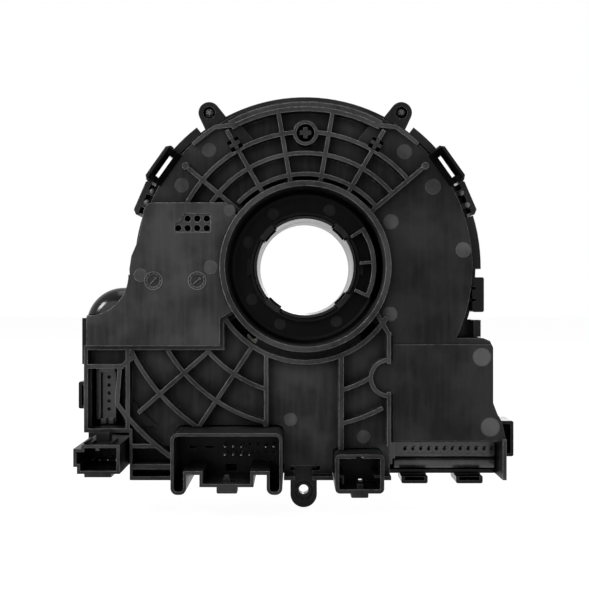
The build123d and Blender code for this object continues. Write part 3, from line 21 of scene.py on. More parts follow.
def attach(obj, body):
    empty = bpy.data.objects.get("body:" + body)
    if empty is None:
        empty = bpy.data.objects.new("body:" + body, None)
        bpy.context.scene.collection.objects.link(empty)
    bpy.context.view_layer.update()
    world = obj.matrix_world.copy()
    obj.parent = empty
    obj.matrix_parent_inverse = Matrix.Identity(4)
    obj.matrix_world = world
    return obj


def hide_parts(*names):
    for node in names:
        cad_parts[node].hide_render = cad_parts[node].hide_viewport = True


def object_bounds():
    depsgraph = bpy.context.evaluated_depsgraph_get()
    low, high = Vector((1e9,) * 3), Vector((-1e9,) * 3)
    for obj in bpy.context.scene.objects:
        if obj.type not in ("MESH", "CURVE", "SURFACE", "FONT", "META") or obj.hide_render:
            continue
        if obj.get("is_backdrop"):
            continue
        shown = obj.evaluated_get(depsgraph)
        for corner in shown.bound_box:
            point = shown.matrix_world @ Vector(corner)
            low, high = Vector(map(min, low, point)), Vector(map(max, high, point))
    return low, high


Colour = tuple[float, float, float]
Point = tuple[float, float, float]
Spot = tuple[float, float]
Span = tuple[float, float]
Outline = list[tuple[float, float]]
Stops = tuple[tuple[float, float], ...]
Mesh = bmesh.types.BMesh
Socket = bpy.types.NodeSocket

LOG = logging.getLogger("clock_spring")
MM = 0.001
FULL_TURN = 360.0
SMOOTH_ANGLE = 32
DOUBLES_WITHIN = 1e-7
RICH_DETAIL = 4.0
PLAIN_DETAIL = 3.0
SPARE_DETAIL = 2.0
AXIS: Spot = (0.0, 0.0)
WHITE = (1.0, 1.0, 1.0, 1.0)
# The middle of a noise's range, where most of it lies.
CLOUD_SPAN: Span = (0.3, 0.7)
# Height over which a plastic goes over to its share at the top, which paints light and shade by
# height.
HEIGHT_LIGHT_REACH: Span = (0.006, 0.018)

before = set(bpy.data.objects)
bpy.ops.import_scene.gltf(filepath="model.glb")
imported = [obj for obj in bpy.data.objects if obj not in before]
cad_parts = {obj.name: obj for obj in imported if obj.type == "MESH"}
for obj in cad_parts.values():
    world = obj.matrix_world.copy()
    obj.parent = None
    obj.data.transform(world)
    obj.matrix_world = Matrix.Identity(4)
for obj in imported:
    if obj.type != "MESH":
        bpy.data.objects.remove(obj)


class Body(Enum):
    """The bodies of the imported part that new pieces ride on."""

    STATOR = "stator"
    ROTOR = "rotor"


class Grain(Enum):
    """How a moulded surface was left by its mould, as grain size in metres and strength."""

    SPARKED = (0.00022, 0.35)
    SATIN = (0.00012, 0.22)
    POLISHED = (0.00045, 0.06)


class Step(Enum):
    """Arithmetic steps, by Blender's names."""

    ADD = "ADD"
    SUBTRACT = "SUBTRACT"
    MULTIPLY = "MULTIPLY"
    DIVIDE = "DIVIDE"
    MAXIMUM = "MAXIMUM"
    FRACT = "FRACT"
    ABSOLUTE = "ABSOLUTE"


class Mixing(Enum):
    """Ways to lay one colour over another, by Blender's names."""

    MIX = "MIX"
    MULTIPLY = "MULTIPLY"


def scaled(colour: Colour, share: float, lift: float = 0.0) -> Colour:
    """A colour times a share, lifted by a little white."""
    return tuple(share * part + lift for part in colour)


class NodeBench:
    """A short way to lay and link the nodes of one tree."""

    def __init__(self, tree: bpy.types.NodeTree) -> None:
        """Starts with an empty tree.

        Args:
            tree: The tree of a material or of the world.
        """
        self.tree = tree
        tree.nodes.clear()

    def add(self, kind: str, **values: object) -> bpy.types.Node:
        """Adds one node.

        Args:
            kind: Blender's name for the node type.
            **values: Attributes of the node, or defaults of its inputs.

        Returns:
            The new node.
        """
        node = self.tree.nodes.new(kind)
        for key, value in values.items():
            if hasattr(node, key):
                setattr(node, key, value)
            else:
                node.inputs[key.replace("_", " ")].default_value = value
        return node

    def link(self, source: Socket, node: bpy.types.Node, name: str | int) -> None:
        """Links an output to a node's input."""
        self.tree.links.new(source, node.inputs[name])

    def math(self, step: Step, first: Socket, second: float | Socket | None = None) -> Socket:
        """Takes one arithmetic step.

        Args:
            step: What is done.
            first: The value it is done to.
            second: The other value, for a step that takes two.

        Returns:
            The result.
        """
        node = self.add("ShaderNodeMath", operation=step.value)
        self.link(first, node, 0)
        if isinstance(second, float):
            node.inputs[1].default_value = second
        elif second is not None:
            self.link(second, node, 1)
        return node.outputs["Value"]

    def show_white(
        self, lit: bpy.types.Node, out: bpy.types.Node, share: float, strength: float
    ) -> None:
        """Shows white to the camera, through glass and in reflections, over the lit shader.

        Args:
            lit: The shader that lamps and shadows act on.
            out: The output node.
            share: How much of what is seen is plain white.
            strength: Strength of the white.
        """
        ray = self.add("ShaderNodeLightPath").outputs
        seen = self.math(Step.MAXIMUM, ray["Is Camera Ray"], ray["Is Transmission Ray"])
        seen = self.math(Step.MAXIMUM, seen, ray["Is Glossy Ray"])
        part = self.math(Step.MULTIPLY, seen, share)
        kind = "ShaderNodeBackground" if lit.type == "BACKGROUND" else "ShaderNodeEmission"
        white = self.add(kind, Color=WHITE, Strength=strength)
        mix = self.add("ShaderNodeMixShader")
        for index, source in enumerate((part, lit.outputs[0], white.outputs[0])):
            self.link(source, mix, index)
        self.link(mix.outputs[0], out, "Surface")


class NodeSheet(NodeBench):
    """The nodes of one material, on Object coordinates."""

    MIX_FACTOR = 0
    MIX_COLOURS = (6, 7)
    MIX_RESULT = 2
    NOISE_ROUGHNESS = 0.55
    EDGE_SAMPLES = 4
    CORNER_SAMPLES = 6
    # Cosines between the softened and the true normal, off an edge and on it.
    EDGE_COSINES: Span = (0.998, 0.93)
    # How open a spot is, and the share of its colour there, which paints shade in corners and gaps.
    OPEN_SPAN: Span = (0.3, 0.95)
    OPEN_SHARES: Span = (0.2, 1.0)

    def __init__(self, name: str) -> None:
        """Starts an empty material with a surface shader.

        Args:
            name: The material's name.
        """
        self.material = bpy.data.materials.new(name)
        self.material.use_nodes = True
        super().__init__(self.material.node_tree)
        self.out = self.add("ShaderNodeOutputMaterial")
        self.shader = self.add("ShaderNodeBsdfPrincipled")
        self.link(self.shader.outputs["BSDF"], self.out, "Surface")
        self.place = self.add("ShaderNodeTexCoord").outputs["Object"]

    def split(self) -> bpy.types.bpy_prop_collection:
        """Takes the place apart.

        Returns:
            The outputs X, Y and Z, by name.
        """
        node = self.add("ShaderNodeSeparateXYZ")
        self.link(self.place, node, "Vector")
        return node.outputs

    def noise(
        self, size: float, detail: float = PLAIN_DETAIL, stretch: Point = (1.0, 1.0, 1.0)
    ) -> Socket:
        """Lays cloudy noise.

        Args:
            size: Typical size of a patch in metres.
            detail: Octaves of finer noise.
            stretch: Factors by which the pattern is drawn out along X, Y and Z.

        Returns:
            The noise, from 0 to 1.
        """
        spread = self.add("ShaderNodeMapping", Scale=tuple(1.0 / (size * s) for s in stretch))
        texture = self.add(
            "ShaderNodeTexNoise", Scale=1.0, Detail=detail, Roughness=self.NOISE_ROUGHNESS
        )
        self.link(self.place, spread, "Vector")
        self.link(spread.outputs["Vector"], texture, "Vector")
        return texture.outputs["Fac"]

    def ramp(self, source: Socket, span: Span, to: Span = (0.0, 1.0)) -> Socket:
        """Maps one span to another, held at the ends.

        Args:
            source: The value that is mapped.
            span: Its two ends, which may fall.
            to: What each end becomes.

        Returns:
            The mapped value.
        """
        node = self.add(
            "ShaderNodeMapRange", From_Min=span[0], From_Max=span[1], To_Min=to[0], To_Max=to[1]
        )
        self.link(source, node, "Value")
        return node.outputs["Result"]

    def blend(
        self, share: float | Socket, first: Colour | Socket, second: Colour | Socket,
        way: Mixing = Mixing.MIX,
    ) -> Socket:
        """Lays a second colour over a first.

        Args:
            share: How much of the second colour counts.
            first: First colour.
            second: Second colour.
            way: How it is laid over.

        Returns:
            The mixed colour.
        """
        node = self.add("ShaderNodeMix", data_type="RGBA", blend_type=way.value)
        if isinstance(share, float):
            node.inputs[self.MIX_FACTOR].default_value = share
        else:
            self.link(share, node, self.MIX_FACTOR)
        for index, value in zip(self.MIX_COLOURS, (first, second)):
            if isinstance(value, tuple):
                node.inputs[index].default_value = (*value, 1.0)
            else:
                self.link(value, node, index)
        return node.outputs[self.MIX_RESULT]

    def tone(self, stops: Stops, height_light_share: float) -> Socket:
        """A share of the colour that paints light and shade by the depth along the steering axis and
        by the height.

        Args:
            stops: Pairs of a depth in millimetres, rising, and a share, which paint light and shade
                along the steering axis.
            height_light_share: Further share at the top of the part, which paints the top lighter, or
                darker where it is below 1.

        Returns:
            The share.
        """
        place = self.split()
        first, last = stops[0][0], stops[-1][0]
        greys = self.add("ShaderNodeValToRGB")
        self.link(self.ramp(place["Y"], (first * MM, last * MM)), greys, "Fac")
        elements = greys.color_ramp.elements
        for depth, _ in stops[1:-1]:
            elements.new((depth - first) / (last - first))
        for element, (_, grey) in zip(elements, stops):
            element.color = (grey, grey, grey, 1.0)
        height = self.ramp(place["Z"], HEIGHT_LIGHT_REACH, (1.0, height_light_share))
        return self.math(Step.MULTIPLY, greys.outputs["Color"], height)

    def edges(self, radius: float) -> tuple[Socket, Socket]:
        """Softens the edges and finds them.

        Args:
            radius: Radius of the softened edge in metres.

        Returns:
            The softened normals, and a mask that is high along outer and inner edges.
        """
        soft = self.add("ShaderNodeBevel", samples=self.EDGE_SAMPLES, Radius=radius).outputs["Normal"]
        true = self.add("ShaderNodeNewGeometry").outputs["Normal"]
        cosine = self.add("ShaderNodeVectorMath", operation="DOT_PRODUCT")
        self.link(soft, cosine, 0)
        self.link(true, cosine, 1)
        return soft, self.ramp(cosine.outputs["Value"], self.EDGE_COSINES)

    def corners(self, reach: float) -> Socket:
        """A share that falls from 1 in corners and narrow gaps: painted shade where nearby walls shut
        out the light.

        Args:
            reach: How far off a neighbouring wall still counts, in metres.

        Returns:
            The share.
        """
        near = self.add(
            "ShaderNodeAmbientOcclusion", samples=self.CORNER_SAMPLES, Distance=reach
        )
        return self.ramp(near.outputs["AO"], self.OPEN_SPAN, self.OPEN_SHARES)

    def paint(self, colour: Socket, roughness: Socket) -> None:
        """Gives the shader its colour and roughness."""
        self.link(colour, self.shader, "Base Color")
        self.link(roughness, self.shader, "Roughness")

    def emboss(
        self, height: Socket, strength: float, distance: float, normals: Socket | None = None
    ) -> None:
        """Raises the surface where a value is high.

        Args:
            height: The value.
            strength: How strongly it counts.
            distance: Depth of the relief in metres.
            normals: Softened normals that it starts from.
        """
        bump = self.add("ShaderNodeBump", Strength=strength, Distance=distance)
        self.link(height, bump, "Height")
        if normals is not None:
            self.link(normals, bump, "Normal")
        self.link(bump.outputs["Normal"], self.shader, "Normal")


@dataclass(frozen=True)
class Plastic:
    """Moulded plastic with mould grain, flow streaks, smudges, and pale patchy edges that are part
    rub wear and part painted highlight.

    The depth stops paint light and shade along the steering axis, such as paler top faces and
    darker rib sides, recesses and well, as pairs of a depth in millimetres and a share of the
    colour.  A further share at the top of the part paints its top lighter, or darker below 1.
    """

    name: str
    colour: Colour
    rubbed_and_highlight: Colour
    roughness: float = 0.45
    grain: Grain = Grain.SATIN
    streaks: float = 0.3
    specular: float = 0.2
    painted_depth_shades: Stops = ((0.0, 1.0), (1.0, 1.0))
    edge_radius: float = 0.00022
    height_light_share: float = 1.0
    shade_reach: float = 0.0035
    grain_relief: float = 0.35
    cloud_size: float = 0.016
    smudge_span: Span = (0.4, 0.62)
    clean_share: float = 0.8
    smudge_share: float = 1.9
    smudge_lift: float = 0.001
    flow_size: float = 0.0016
    flow_stretch: Point = (1.0, 1.0, 14.0)
    streak_span: Span = (0.42, 0.66)
    streak_share: float = 3.0
    streak_lift: float = 0.002
    streak_gloss: float = -0.22
    wear_size: float = 0.0012
    wear_span: Span = (0.36, 0.6)
    wear_shares: Span = (0.25, 1.0)
    rough_spread: Span = (-0.05, 0.07)

    def build(self) -> bpy.types.Material:
        """Makes the material.

        Returns:
            The material.
        """
        sheet = NodeSheet(self.name)
        cloud = sheet.noise(self.cloud_size, RICH_DETAIL)
        flow = sheet.noise(self.flow_size, PLAIN_DETAIL, self.flow_stretch)
        smudge = sheet.ramp(cloud, self.smudge_span)
        streak = sheet.ramp(flow, self.streak_span, (0.0, self.streaks))
        clean = scaled(self.colour, self.clean_share)
        smudged = scaled(self.colour, self.smudge_share, self.smudge_lift)
        streaked = scaled(self.colour, self.streak_share, self.streak_lift)
        colour = sheet.blend(streak, sheet.blend(smudge, clean, smudged), streaked)
        # Painted light and shade by depth along the steering axis and by height, multiplied into the
        # colour.
        tone = sheet.tone(self.painted_depth_shades, self.height_light_share)
        # Painted shade in corners and narrow gaps, from how open each spot is.
        tone = sheet.math(Step.MULTIPLY, tone, sheet.corners(self.shade_reach))
        colour = sheet.blend(1.0, colour, tone, Mixing.MULTIPLY)
        normals, edges = sheet.edges(self.edge_radius)
        patches = sheet.noise(self.wear_size, RICH_DETAIL)
        patchy = sheet.ramp(patches, self.wear_span, self.wear_shares)
        # Pale patchy edges, part rub wear and part painted highlight, scaled by the painted depth
        # shade.
        wear_and_highlight = sheet.math(Step.MULTIPLY, sheet.math(Step.MULTIPLY, edges, patchy), tone)
        colour = sheet.blend(wear_and_highlight, colour, self.rubbed_and_highlight)
        spread = (self.roughness + self.rough_spread[0], self.roughness + self.rough_spread[1])
        base = sheet.ramp(cloud, CLOUD_SPAN, spread)
        gloss = sheet.math(Step.MULTIPLY, streak, self.streak_gloss)
        sheet.paint(colour, sheet.math(Step.ADD, base, gloss))
        size, strength = self.grain.value
        grain = sheet.noise(size, SPARE_DETAIL)
        sheet.emboss(grain, strength, size * self.grain_relief, normals)
        sheet.shader.inputs["Specular IOR Level"].default_value = self.specular
        return sheet.material


@dataclass(frozen=True)
class Metal:
    """Plated or bare metal with drawn scratches and dull patches."""

    name: str
    colour: Colour
    dulled: Colour
    roughness: float = 0.28
    patch_size: float = 0.0022
    dull_span: Span = (0.42, 0.68)
    rough_span: Span = (0.35, 0.7)
    rough_spread: Span = (-0.06, 0.14)
    scratch_size: float = 0.00008
    scratch_stretch: Point = (1.0, 20.0, 1.0)
    scratch_strength: float = 0.2
    scratch_depth: float = 0.00003
    edge_radius: float = 0.0001

    def build(self) -> bpy.types.Material:
        """Makes the material.

        Returns:
            The material.
        """
        sheet = NodeSheet(self.name)
        patches = sheet.noise(self.patch_size, RICH_DETAIL)
        scratches = sheet.noise(self.scratch_size, SPARE_DETAIL, self.scratch_stretch)
        colour = sheet.blend(sheet.ramp(patches, self.dull_span), self.colour, self.dulled)
        spread = (self.roughness + self.rough_spread[0], self.roughness + self.rough_spread[1])
        sheet.paint(colour, sheet.ramp(patches, self.rough_span, spread))
        normals, _ = sheet.edges(self.edge_radius)
        sheet.emboss(scratches, self.scratch_strength, self.scratch_depth, normals)
        sheet.shader.inputs["Metallic"].default_value = 1.0
        return sheet.material


@dataclass(frozen=True)
class SolderMask:
    """Green board lacquer over copper tracks and ground fill."""

    name: str
    colour: Colour = (0.012, 0.085, 0.035)
    ground_share: float = 1.3
    track: Colour = (0.03, 0.17, 0.07)
    track_density: float = 260.0
    track_span: Span = (0.09, 0.05)
    cloud_size: float = 0.01
    roughness: Span = (0.28, 0.42)
    relief_strength: float = 0.5
    relief: float = 0.00004

    def build(self) -> bpy.types.Material:
        """Makes the material.

        Returns:
            The material.
        """
        sheet = NodeSheet(self.name)
        cells = sheet.add(
            "ShaderNodeTexVoronoi", feature="DISTANCE_TO_EDGE", Scale=self.track_density
        )
        sheet.link(sheet.place, cells, "Vector")
        tracks = sheet.ramp(cells.outputs["Distance"], self.track_span)
        cloud = sheet.noise(self.cloud_size)
        ground = scaled(self.colour, self.ground_share)
        base = sheet.blend(sheet.ramp(cloud, CLOUD_SPAN), self.colour, ground)
        colour = sheet.blend(tracks, base, self.track)
        sheet.paint(colour, sheet.ramp(cloud, CLOUD_SPAN, self.roughness))
        sheet.emboss(tracks, self.relief_strength, self.relief)
        return sheet.material


@dataclass(frozen=True)
class RibbonFilm:
    """Polyester ribbon with flat conductors side by side along its length."""

    name: str
    film: Colour = (0.55, 0.6, 0.66)
    tint_share: float = 0.86
    conductor: Colour = (0.62, 0.4, 0.24)
    first_edge: float = 0.0239
    pitch: float = 0.00108
    middle_share: float = 0.4
    edge_span: Span = (0.31, 0.26)
    cloud_size: float = 0.008
    roughness: Span = (0.16, 0.3)
    relief_strength: float = 0.4
    relief: float = 0.00003

    def build(self) -> bpy.types.Material:
        """Makes the material.

        Returns:
            The material.
        """
        sheet = NodeSheet(self.name)
        across = sheet.math(Step.SUBTRACT, sheet.split()["Y"], self.first_edge)
        across = sheet.math(Step.FRACT, sheet.math(Step.DIVIDE, across, self.pitch))
        away = sheet.math(Step.ABSOLUTE, sheet.math(Step.SUBTRACT, across, self.middle_share))
        lines = sheet.ramp(away, self.edge_span)
        cloud = sheet.noise(self.cloud_size)
        tinted = scaled(self.film, self.tint_share)
        film = sheet.blend(sheet.ramp(cloud, CLOUD_SPAN), self.film, tinted)
        colour = sheet.blend(lines, film, self.conductor)
        sheet.paint(colour, sheet.ramp(cloud, CLOUD_SPAN, self.roughness))
        sheet.emboss(lines, self.relief_strength, self.relief)
        return sheet.material


def header_plastic(name: str, mouth: float, behind_rim_shade: float) -> Plastic:
    """Black plastic of a plug housing, painted lighter on its rim and with painted shade on the walls
    behind it.

    Args:
        name: The finish's name.
        mouth: Depth of the rim in millimetres.
        behind_rim_shade: Share of the colour on the walls behind the rim, painted shade.

    Returns:
        The finish.
    """
    return Plastic(
        name,
        colour=(0.0075, 0.0075, 0.0077),
        rubbed_and_highlight=(0.12, 0.12, 0.121),
        roughness=0.34,
        streaks=0.25,
        specular=0.06,
        painted_depth_shades=((mouth, 1.15), (mouth + 0.2, 1.0), (mouth + 0.9, behind_rim_shade), (12.0, 0.8), (14.0, 0.8)),
        edge_radius=0.00024,
    )


# The cover's depth stops paint light and shade, from the ring's top over the ribs and the floors to
# the well: paler rib tops and pocket floors, painted shade on the rib sides and darker deeper in the
# well.
COVER = Plastic(
    "cover_plastic",
    colour=(0.0118, 0.0118, 0.012),
    rubbed_and_highlight=(0.16, 0.16, 0.161),
    roughness=0.4,
    grain=Grain.SPARKED,
    streaks=0.24,
    specular=0.06,
    painted_depth_shades=(
        (-2.0, 1.0), (-1.2, 0.98), (0.0, 1.05), (0.4, 0.55), (4.4, 0.5),
        (4.85, 1.1), (5.15, 1.1), (5.5, 0.32), (7.0, 0.22), (12.0, 0.08),
    ),
    edge_radius=0.0003,
)
# The ejector finish paints the marks on the deep floors lighter and those near the top darker:
# painted light and shade.
EJECTOR = Plastic(
    "ejector_satin",
    colour=(0.022, 0.022, 0.0225),
    rubbed_and_highlight=(0.05, 0.05, 0.05),
    roughness=0.6,
    grain=Grain.SPARKED,
    streaks=0.1,
    specular=0.1,
    painted_depth_shades=((-2.0, 1.0), (2.5, 1.0), (4.5, 1.8)),
    height_light_share=0.75,
)
# A darker copy of the ejector finish for the marks on the well floor: painted shade.
SHADED_EJECTOR = Plastic(
    "ejector_satin_painted_shade",
    colour=(0.008, 0.008, 0.0081),
    rubbed_and_highlight=(0.02, 0.02, 0.02),
    roughness=0.5,
    grain=Grain.SPARKED,
    streaks=0.1,
    specular=0.1,
)
# A paler finish for the dial reliefs and the post caps: painted highlight.
PALE_HIGHLIGHT = Plastic(
    "pale_highlight_relief",
    colour=(0.045, 0.045, 0.0455),
    rubbed_and_highlight=(0.08, 0.08, 0.08),
    streaks=0.1,
    specular=0.15,
)
# The housing's depth stops paint shade a little way in and light towards the wheel side, and its top
# is painted lighter.
HOUSING = Plastic(
    "housing_plastic",
    colour=(0.003, 0.003, 0.0031),
    rubbed_and_highlight=(0.11, 0.11, 0.111),
    roughness=0.17,
    grain=Grain.POLISHED,
    streaks=0.2,
    specular=0.12,
    painted_depth_shades=((2.0, 1.0), (12.0, 0.7), (18.0, 1.6), (26.0, 3.0)),
    edge_radius=0.00024,
    height_light_share=1.9,
)
# Near-black with no reflection, for pieces that stand in for shade: painted shade.
SHADE_BLACK = Plastic(
    "painted_shade_black",
    colour=(0.001, 0.001, 0.001),
    rubbed_and_highlight=(0.008, 0.008, 0.008),
    roughness=0.6,
    streaks=0.1,
    specular=0.0,
)
FINGER = Plastic(
    "finger_plastic",
    colour=(0.001, 0.001, 0.001),
    rubbed_and_highlight=(0.012, 0.012, 0.012),
    roughness=0.6,
    grain=Grain.POLISHED,
    streaks=0.1,
    specular=0.0,
)
TRAY = Plastic(
    "tray_plastic",
    colour=(0.009, 0.009, 0.0092),
    rubbed_and_highlight=(0.07, 0.07, 0.07),
    roughness=0.4,
    streaks=0.2,
    specular=0.08,
)
MAIN_HEADER = header_plastic("main_header_plastic", mouth=-14.0, behind_rim_shade=0.62)
SIDE_HEADER = header_plastic("side_header_plastic", mouth=-12.0, behind_rim_shade=0.22)
SWITCH_HEADER = header_plastic("switch_header_plastic", mouth=-8.0, behind_rim_shade=0.42)
WHEEL_HEADER = Plastic(
    "wheel_header_plastic",
    colour=(0.011, 0.011, 0.0112),
    rubbed_and_highlight=(0.1, 0.1, 0.101),
    roughness=0.38,
    streaks=0.25,
    specular=0.15,
)
STRIP = Plastic(
    "strip_plastic",
    colour=(0.02, 0.02, 0.0202),
    rubbed_and_highlight=(0.13, 0.13, 0.13),
    roughness=0.18,
    grain=Grain.POLISHED,
    streaks=0.1,
    specular=0.45,
)
# The rotor's depth stops paint it lighter towards the wheel side, up to the far end of the bore.
ROTOR = Plastic(
    "rotor_plastic",
    colour=(0.003, 0.003, 0.0031),
    rubbed_and_highlight=(0.06, 0.06, 0.061),
    roughness=0.24,
    streaks=0.25,
    specular=0.14,
    painted_depth_shades=((6.0, 1.0), (16.0, 1.0), (28.0, 3.6), (34.0, 3.8)),
)
CHIP = Plastic(
    "chip_epoxy", colour=(0.02, 0.02, 0.02), rubbed_and_highlight=(0.05, 0.05, 0.05), roughness=0.55, streaks=0.1
)
GEAR = Plastic(
    "gear_acetal", colour=(0.68, 0.66, 0.6), rubbed_and_highlight=(0.8, 0.79, 0.75), roughness=0.36, streaks=0.05
)
SOCKET = Plastic(
    "socket_plastic", colour=(0.72, 0.47, 0.025), rubbed_and_highlight=(0.84, 0.62, 0.12), roughness=0.4,
    streaks=0.08,
)
MAGNET = Plastic(
    "magnet_ferrite", colour=(0.07, 0.07, 0.078), rubbed_and_highlight=(0.16, 0.16, 0.17), roughness=0.5,
    grain=Grain.SPARKED, streaks=0.0,
)
TIN = Metal("tin_plate", colour=(0.8, 0.79, 0.76), dulled=(0.5, 0.49, 0.46), roughness=0.24)
ZINC = Metal("screw_zinc", colour=(0.075, 0.075, 0.078), dulled=(0.015, 0.015, 0.016), roughness=0.4)
# A dark copy of tin for the contacts in the strips' holes: painted shade.
SHADED_TIN = Metal(
    "contact_tin_painted_shade", colour=(0.07, 0.068, 0.064), dulled=(0.02, 0.02, 0.019), roughness=0.35
)
BOARD = SolderMask("board_mask")
RIBBON = RibbonFilm("ribbon_film")
Finish = Plastic | Metal | SolderMask | RibbonFilm

NODE_FINISHES: dict[str, Finish] = {
    "rear_cover": COVER,
    "front_housing": HOUSING,
    "cable_tray": TRAY,
    "circuit_board": BOARD,
    "angle_chips": CHIP,
    "main_header": MAIN_HEADER,
    "side_header": SIDE_HEADER,
    "switch_header": SWITCH_HEADER,
    "left_contact_strip": STRIP,
    "right_contact_strip": STRIP,
    "strip_contacts": SHADED_TIN,
    "board_screws": ZINC,
    "flat_cable": RIBBON,
    "tray_terminal": TRAY,
    "rotor_terminal": TRAY,
    "rotor_hub": ROTOR,
    "angle_gear": GEAR,
    "sensor_gear_a": GEAR,
    "sensor_gear_b": GEAR,
    "magnet_a": MAGNET,
    "magnet_b": MAGNET,
    "airbag_socket": SOCKET,
    "wheel_header": WHEEL_HEADER,
    "airbag_pins": TIN,
    "wheel_header_pins": TIN,
}


class Wardrobe:
    """Builds each finish once and puts it on pieces."""

    def __init__(self) -> None:
        """Starts with no material made."""
        self.made: dict[str, bpy.types.Material] = {}

    def material(self, finish: Finish) -> bpy.types.Material:
        """The finish's material, made on first use.

        Args:
            finish: The finish.

        Returns:
            Its material.
        """
        if finish.name not in self.made:
            self.made[finish.name] = finish.build()
        return self.made[finish.name]

    def dress(self, piece: bpy.types.Object, finish: Finish) -> None:
        """Puts a finish on every material slot of a piece.

        Args:
            piece: A CAD node or a new piece.
            finish: What it is made of.
        """
        if not piece.material_slots:
            piece.data.materials.append(self.material(finish))
        for slot in piece.material_slots:
            slot.material = self.material(finish)


def along_axis(centre: Spot, depth: float) -> Vector:
    """Point in metres at X and Z and a depth along the steering axis, in millimetres."""
    return Vector((centre[0] * MM, depth * MM, centre[1] * MM))


def polar(radius: float, angle: float) -> Spot:
    """X and Z of a point at a radius and an angle in degrees about the steering axis."""
    return (radius * math.cos(math.radians(angle)), radius * math.sin(math.radians(angle)))


@dataclass
class SubAssembly:
    """Shared ways to shape, place and dress the pieces of one group."""

    wardrobe: Wardrobe

    def build(self) -> None:
        """Makes the group's pieces."""
        raise NotImplementedError

    def keep(
        self, name: str, mesh: Mesh, finish: Finish, body: Body, slot: str,
        stands_for: tuple[str, ...] = (),
    ) -> None:
        """Turns a bmesh into a piece that rides on a body.

        Args:
            name: The piece's name.
            mesh: Its shape, in metres in the shared frame.
            finish: What it is made of.
            body: The body it moves with.
            slot: The record's material slot; not used.
            stands_for: CAD nodes that it replaces.
        """
        bmesh.ops.recalc_face_normals(mesh, faces=mesh.faces[:])
        data = bpy.data.meshes.new(name)
        mesh.to_mesh(data)
        mesh.free()
        piece = bpy.data.objects.new(name, data)
        bpy.context.scene.collection.objects.link(piece)
        self.wardrobe.dress(piece, finish)
        data.shade_smooth()
        data.set_sharp_from_angle(angle=math.radians(SMOOTH_ANGLE))
        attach(piece, body.value)
        if stands_for:
            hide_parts(*stands_for)
        LOG.info("%s: %d faces", name, len(data.polygons))

    @staticmethod
    def join(mesh: Mesh, other: Mesh) -> None:
        """Adds another bmesh to this one and frees it.

        Args:
            mesh: The bmesh that grows.
            other: The bmesh that is added.
        """
        carrier = bpy.data.meshes.new("carrier")
        other.to_mesh(carrier)
        other.free()
        mesh.from_mesh(carrier)
        bpy.data.meshes.remove(carrier)

    @staticmethod
    def turn(mesh: Mesh, angle: float) -> None:
        """Turns a whole bmesh about the steering axis by an angle in degrees."""
        matrix = Matrix.Rotation(-math.radians(angle), 3, "Y")
        bmesh.ops.rotate(mesh, cent=(0, 0, 0), matrix=matrix, verts=mesh.verts[:])

    @staticmethod
    def shift(mesh: Mesh, centre: Spot) -> None:
        """Moves a whole bmesh by X and Z in millimetres."""
        bmesh.ops.translate(mesh, vec=along_axis(centre, 0), verts=mesh.verts[:])

    def block(
        self, mesh: Mesh, low: Point, high: Point, bevel: float = 0.0, turn: float = 0.0,
        centre: Spot = AXIS,
    ) -> None:
        """Adds a box with bevelled edges, in millimetres.

        Args:
            mesh: Where it is added.
            low: Its low corner.
            high: Its high corner.
            bevel: Width of the bevel.
            turn: Turn about the steering axis in degrees, after it is placed.
            centre: X and Z by which it moves after the turn.
        """
        box = bmesh.new()
        bmesh.ops.create_cube(box, size=1.0)
        sides = [(to - start) * MM for start, to in zip(low, high)]
        middle = Vector([(to + start) / 2 * MM for start, to in zip(low, high)])
        bmesh.ops.scale(box, vec=sides, verts=box.verts[:])
        bmesh.ops.translate(box, vec=middle, verts=box.verts[:])
        if bevel > 0:
            bmesh.ops.bevel(
                box, geom=box.edges[:], offset=bevel * MM, affect="EDGES", segments=2,
                profile=0.5, material=-1,
            )
        self.turn(box, turn)
        self.shift(box, centre)
        self.join(mesh, box)

    @staticmethod
    def rod(
        mesh: Mesh, centre: Spot, radii: tuple[float, float], back: float, front: float,
        segments: int = 32,
    ) -> None:
        """Adds a round or tapered rod along the steering axis, in millimetres.

        Args:
            mesh: Where it is added.
            centre: X and Z of its axis.
            radii: Radius at the back end and at the front end.
            back: Depth of the back end.
            front: Depth of the front end.
            segments: Sides of the rod.
        """
        made = bmesh.ops.create_cone(
            mesh, cap_ends=True, segments=segments, radius1=radii[1] * MM, radius2=radii[0] * MM,
            depth=(front - back) * MM,
        )["verts"]
        upright = Matrix.Rotation(math.pi / 2, 3, "X")
        bmesh.ops.rotate(mesh, cent=(0, 0, 0), matrix=upright, verts=made)
        bmesh.ops.translate(mesh, vec=along_axis(centre, (back + front) / 2), verts=made)

    @staticmethod
    def sweep(mesh: Mesh, outline: Outline, start: float, angle: float, steps: int) -> None:
        """Adds a closed outline swept about the steering axis.

        Args:
            mesh: Where it is added.
            outline: Radius and depth of each corner, in millimetres.
            start: Polar angle of the first end, in degrees.
            angle: How far it turns. A full turn closes it on itself.
            steps: Number of steps of the sweep.
        """
        corners = [mesh.verts.new(along_axis(polar(r, start), depth)) for r, depth in outline]
        face = mesh.faces.new(corners)
        full = angle >= FULL_TURN
        bmesh.ops.spin(
            mesh, geom=corners + list(face.edges) + ([] if full else [face]), cent=(0, 0, 0),
            axis=(0, -1, 0), dvec=(0, 0, 0), angle=math.radians(angle), steps=steps,
            use_merge=full, use_normal_flip=False, use_duplicate=False,
        )
        if full:
            bmesh.ops.delete(mesh, geom=[face], context="FACES_ONLY")
        bmesh.ops.remove_doubles(mesh, verts=mesh.verts[:], dist=DOUBLES_WITHIN)

    def lathe(self, mesh: Mesh, outline: Outline, steps: int, centre: Spot = AXIS) -> None:
        """Adds a closed outline turned fully about an axis of its own.

        Args:
            mesh: Where it is added.
            outline: Radius and depth of each corner, in millimetres.
            steps: Number of steps of the turn.
            centre: X and Z of the axis.
        """
        single = bmesh.new()
        self.sweep(single, outline, 0.0, FULL_TURN, steps)
        self.shift(single, centre)
        self.join(mesh, single)


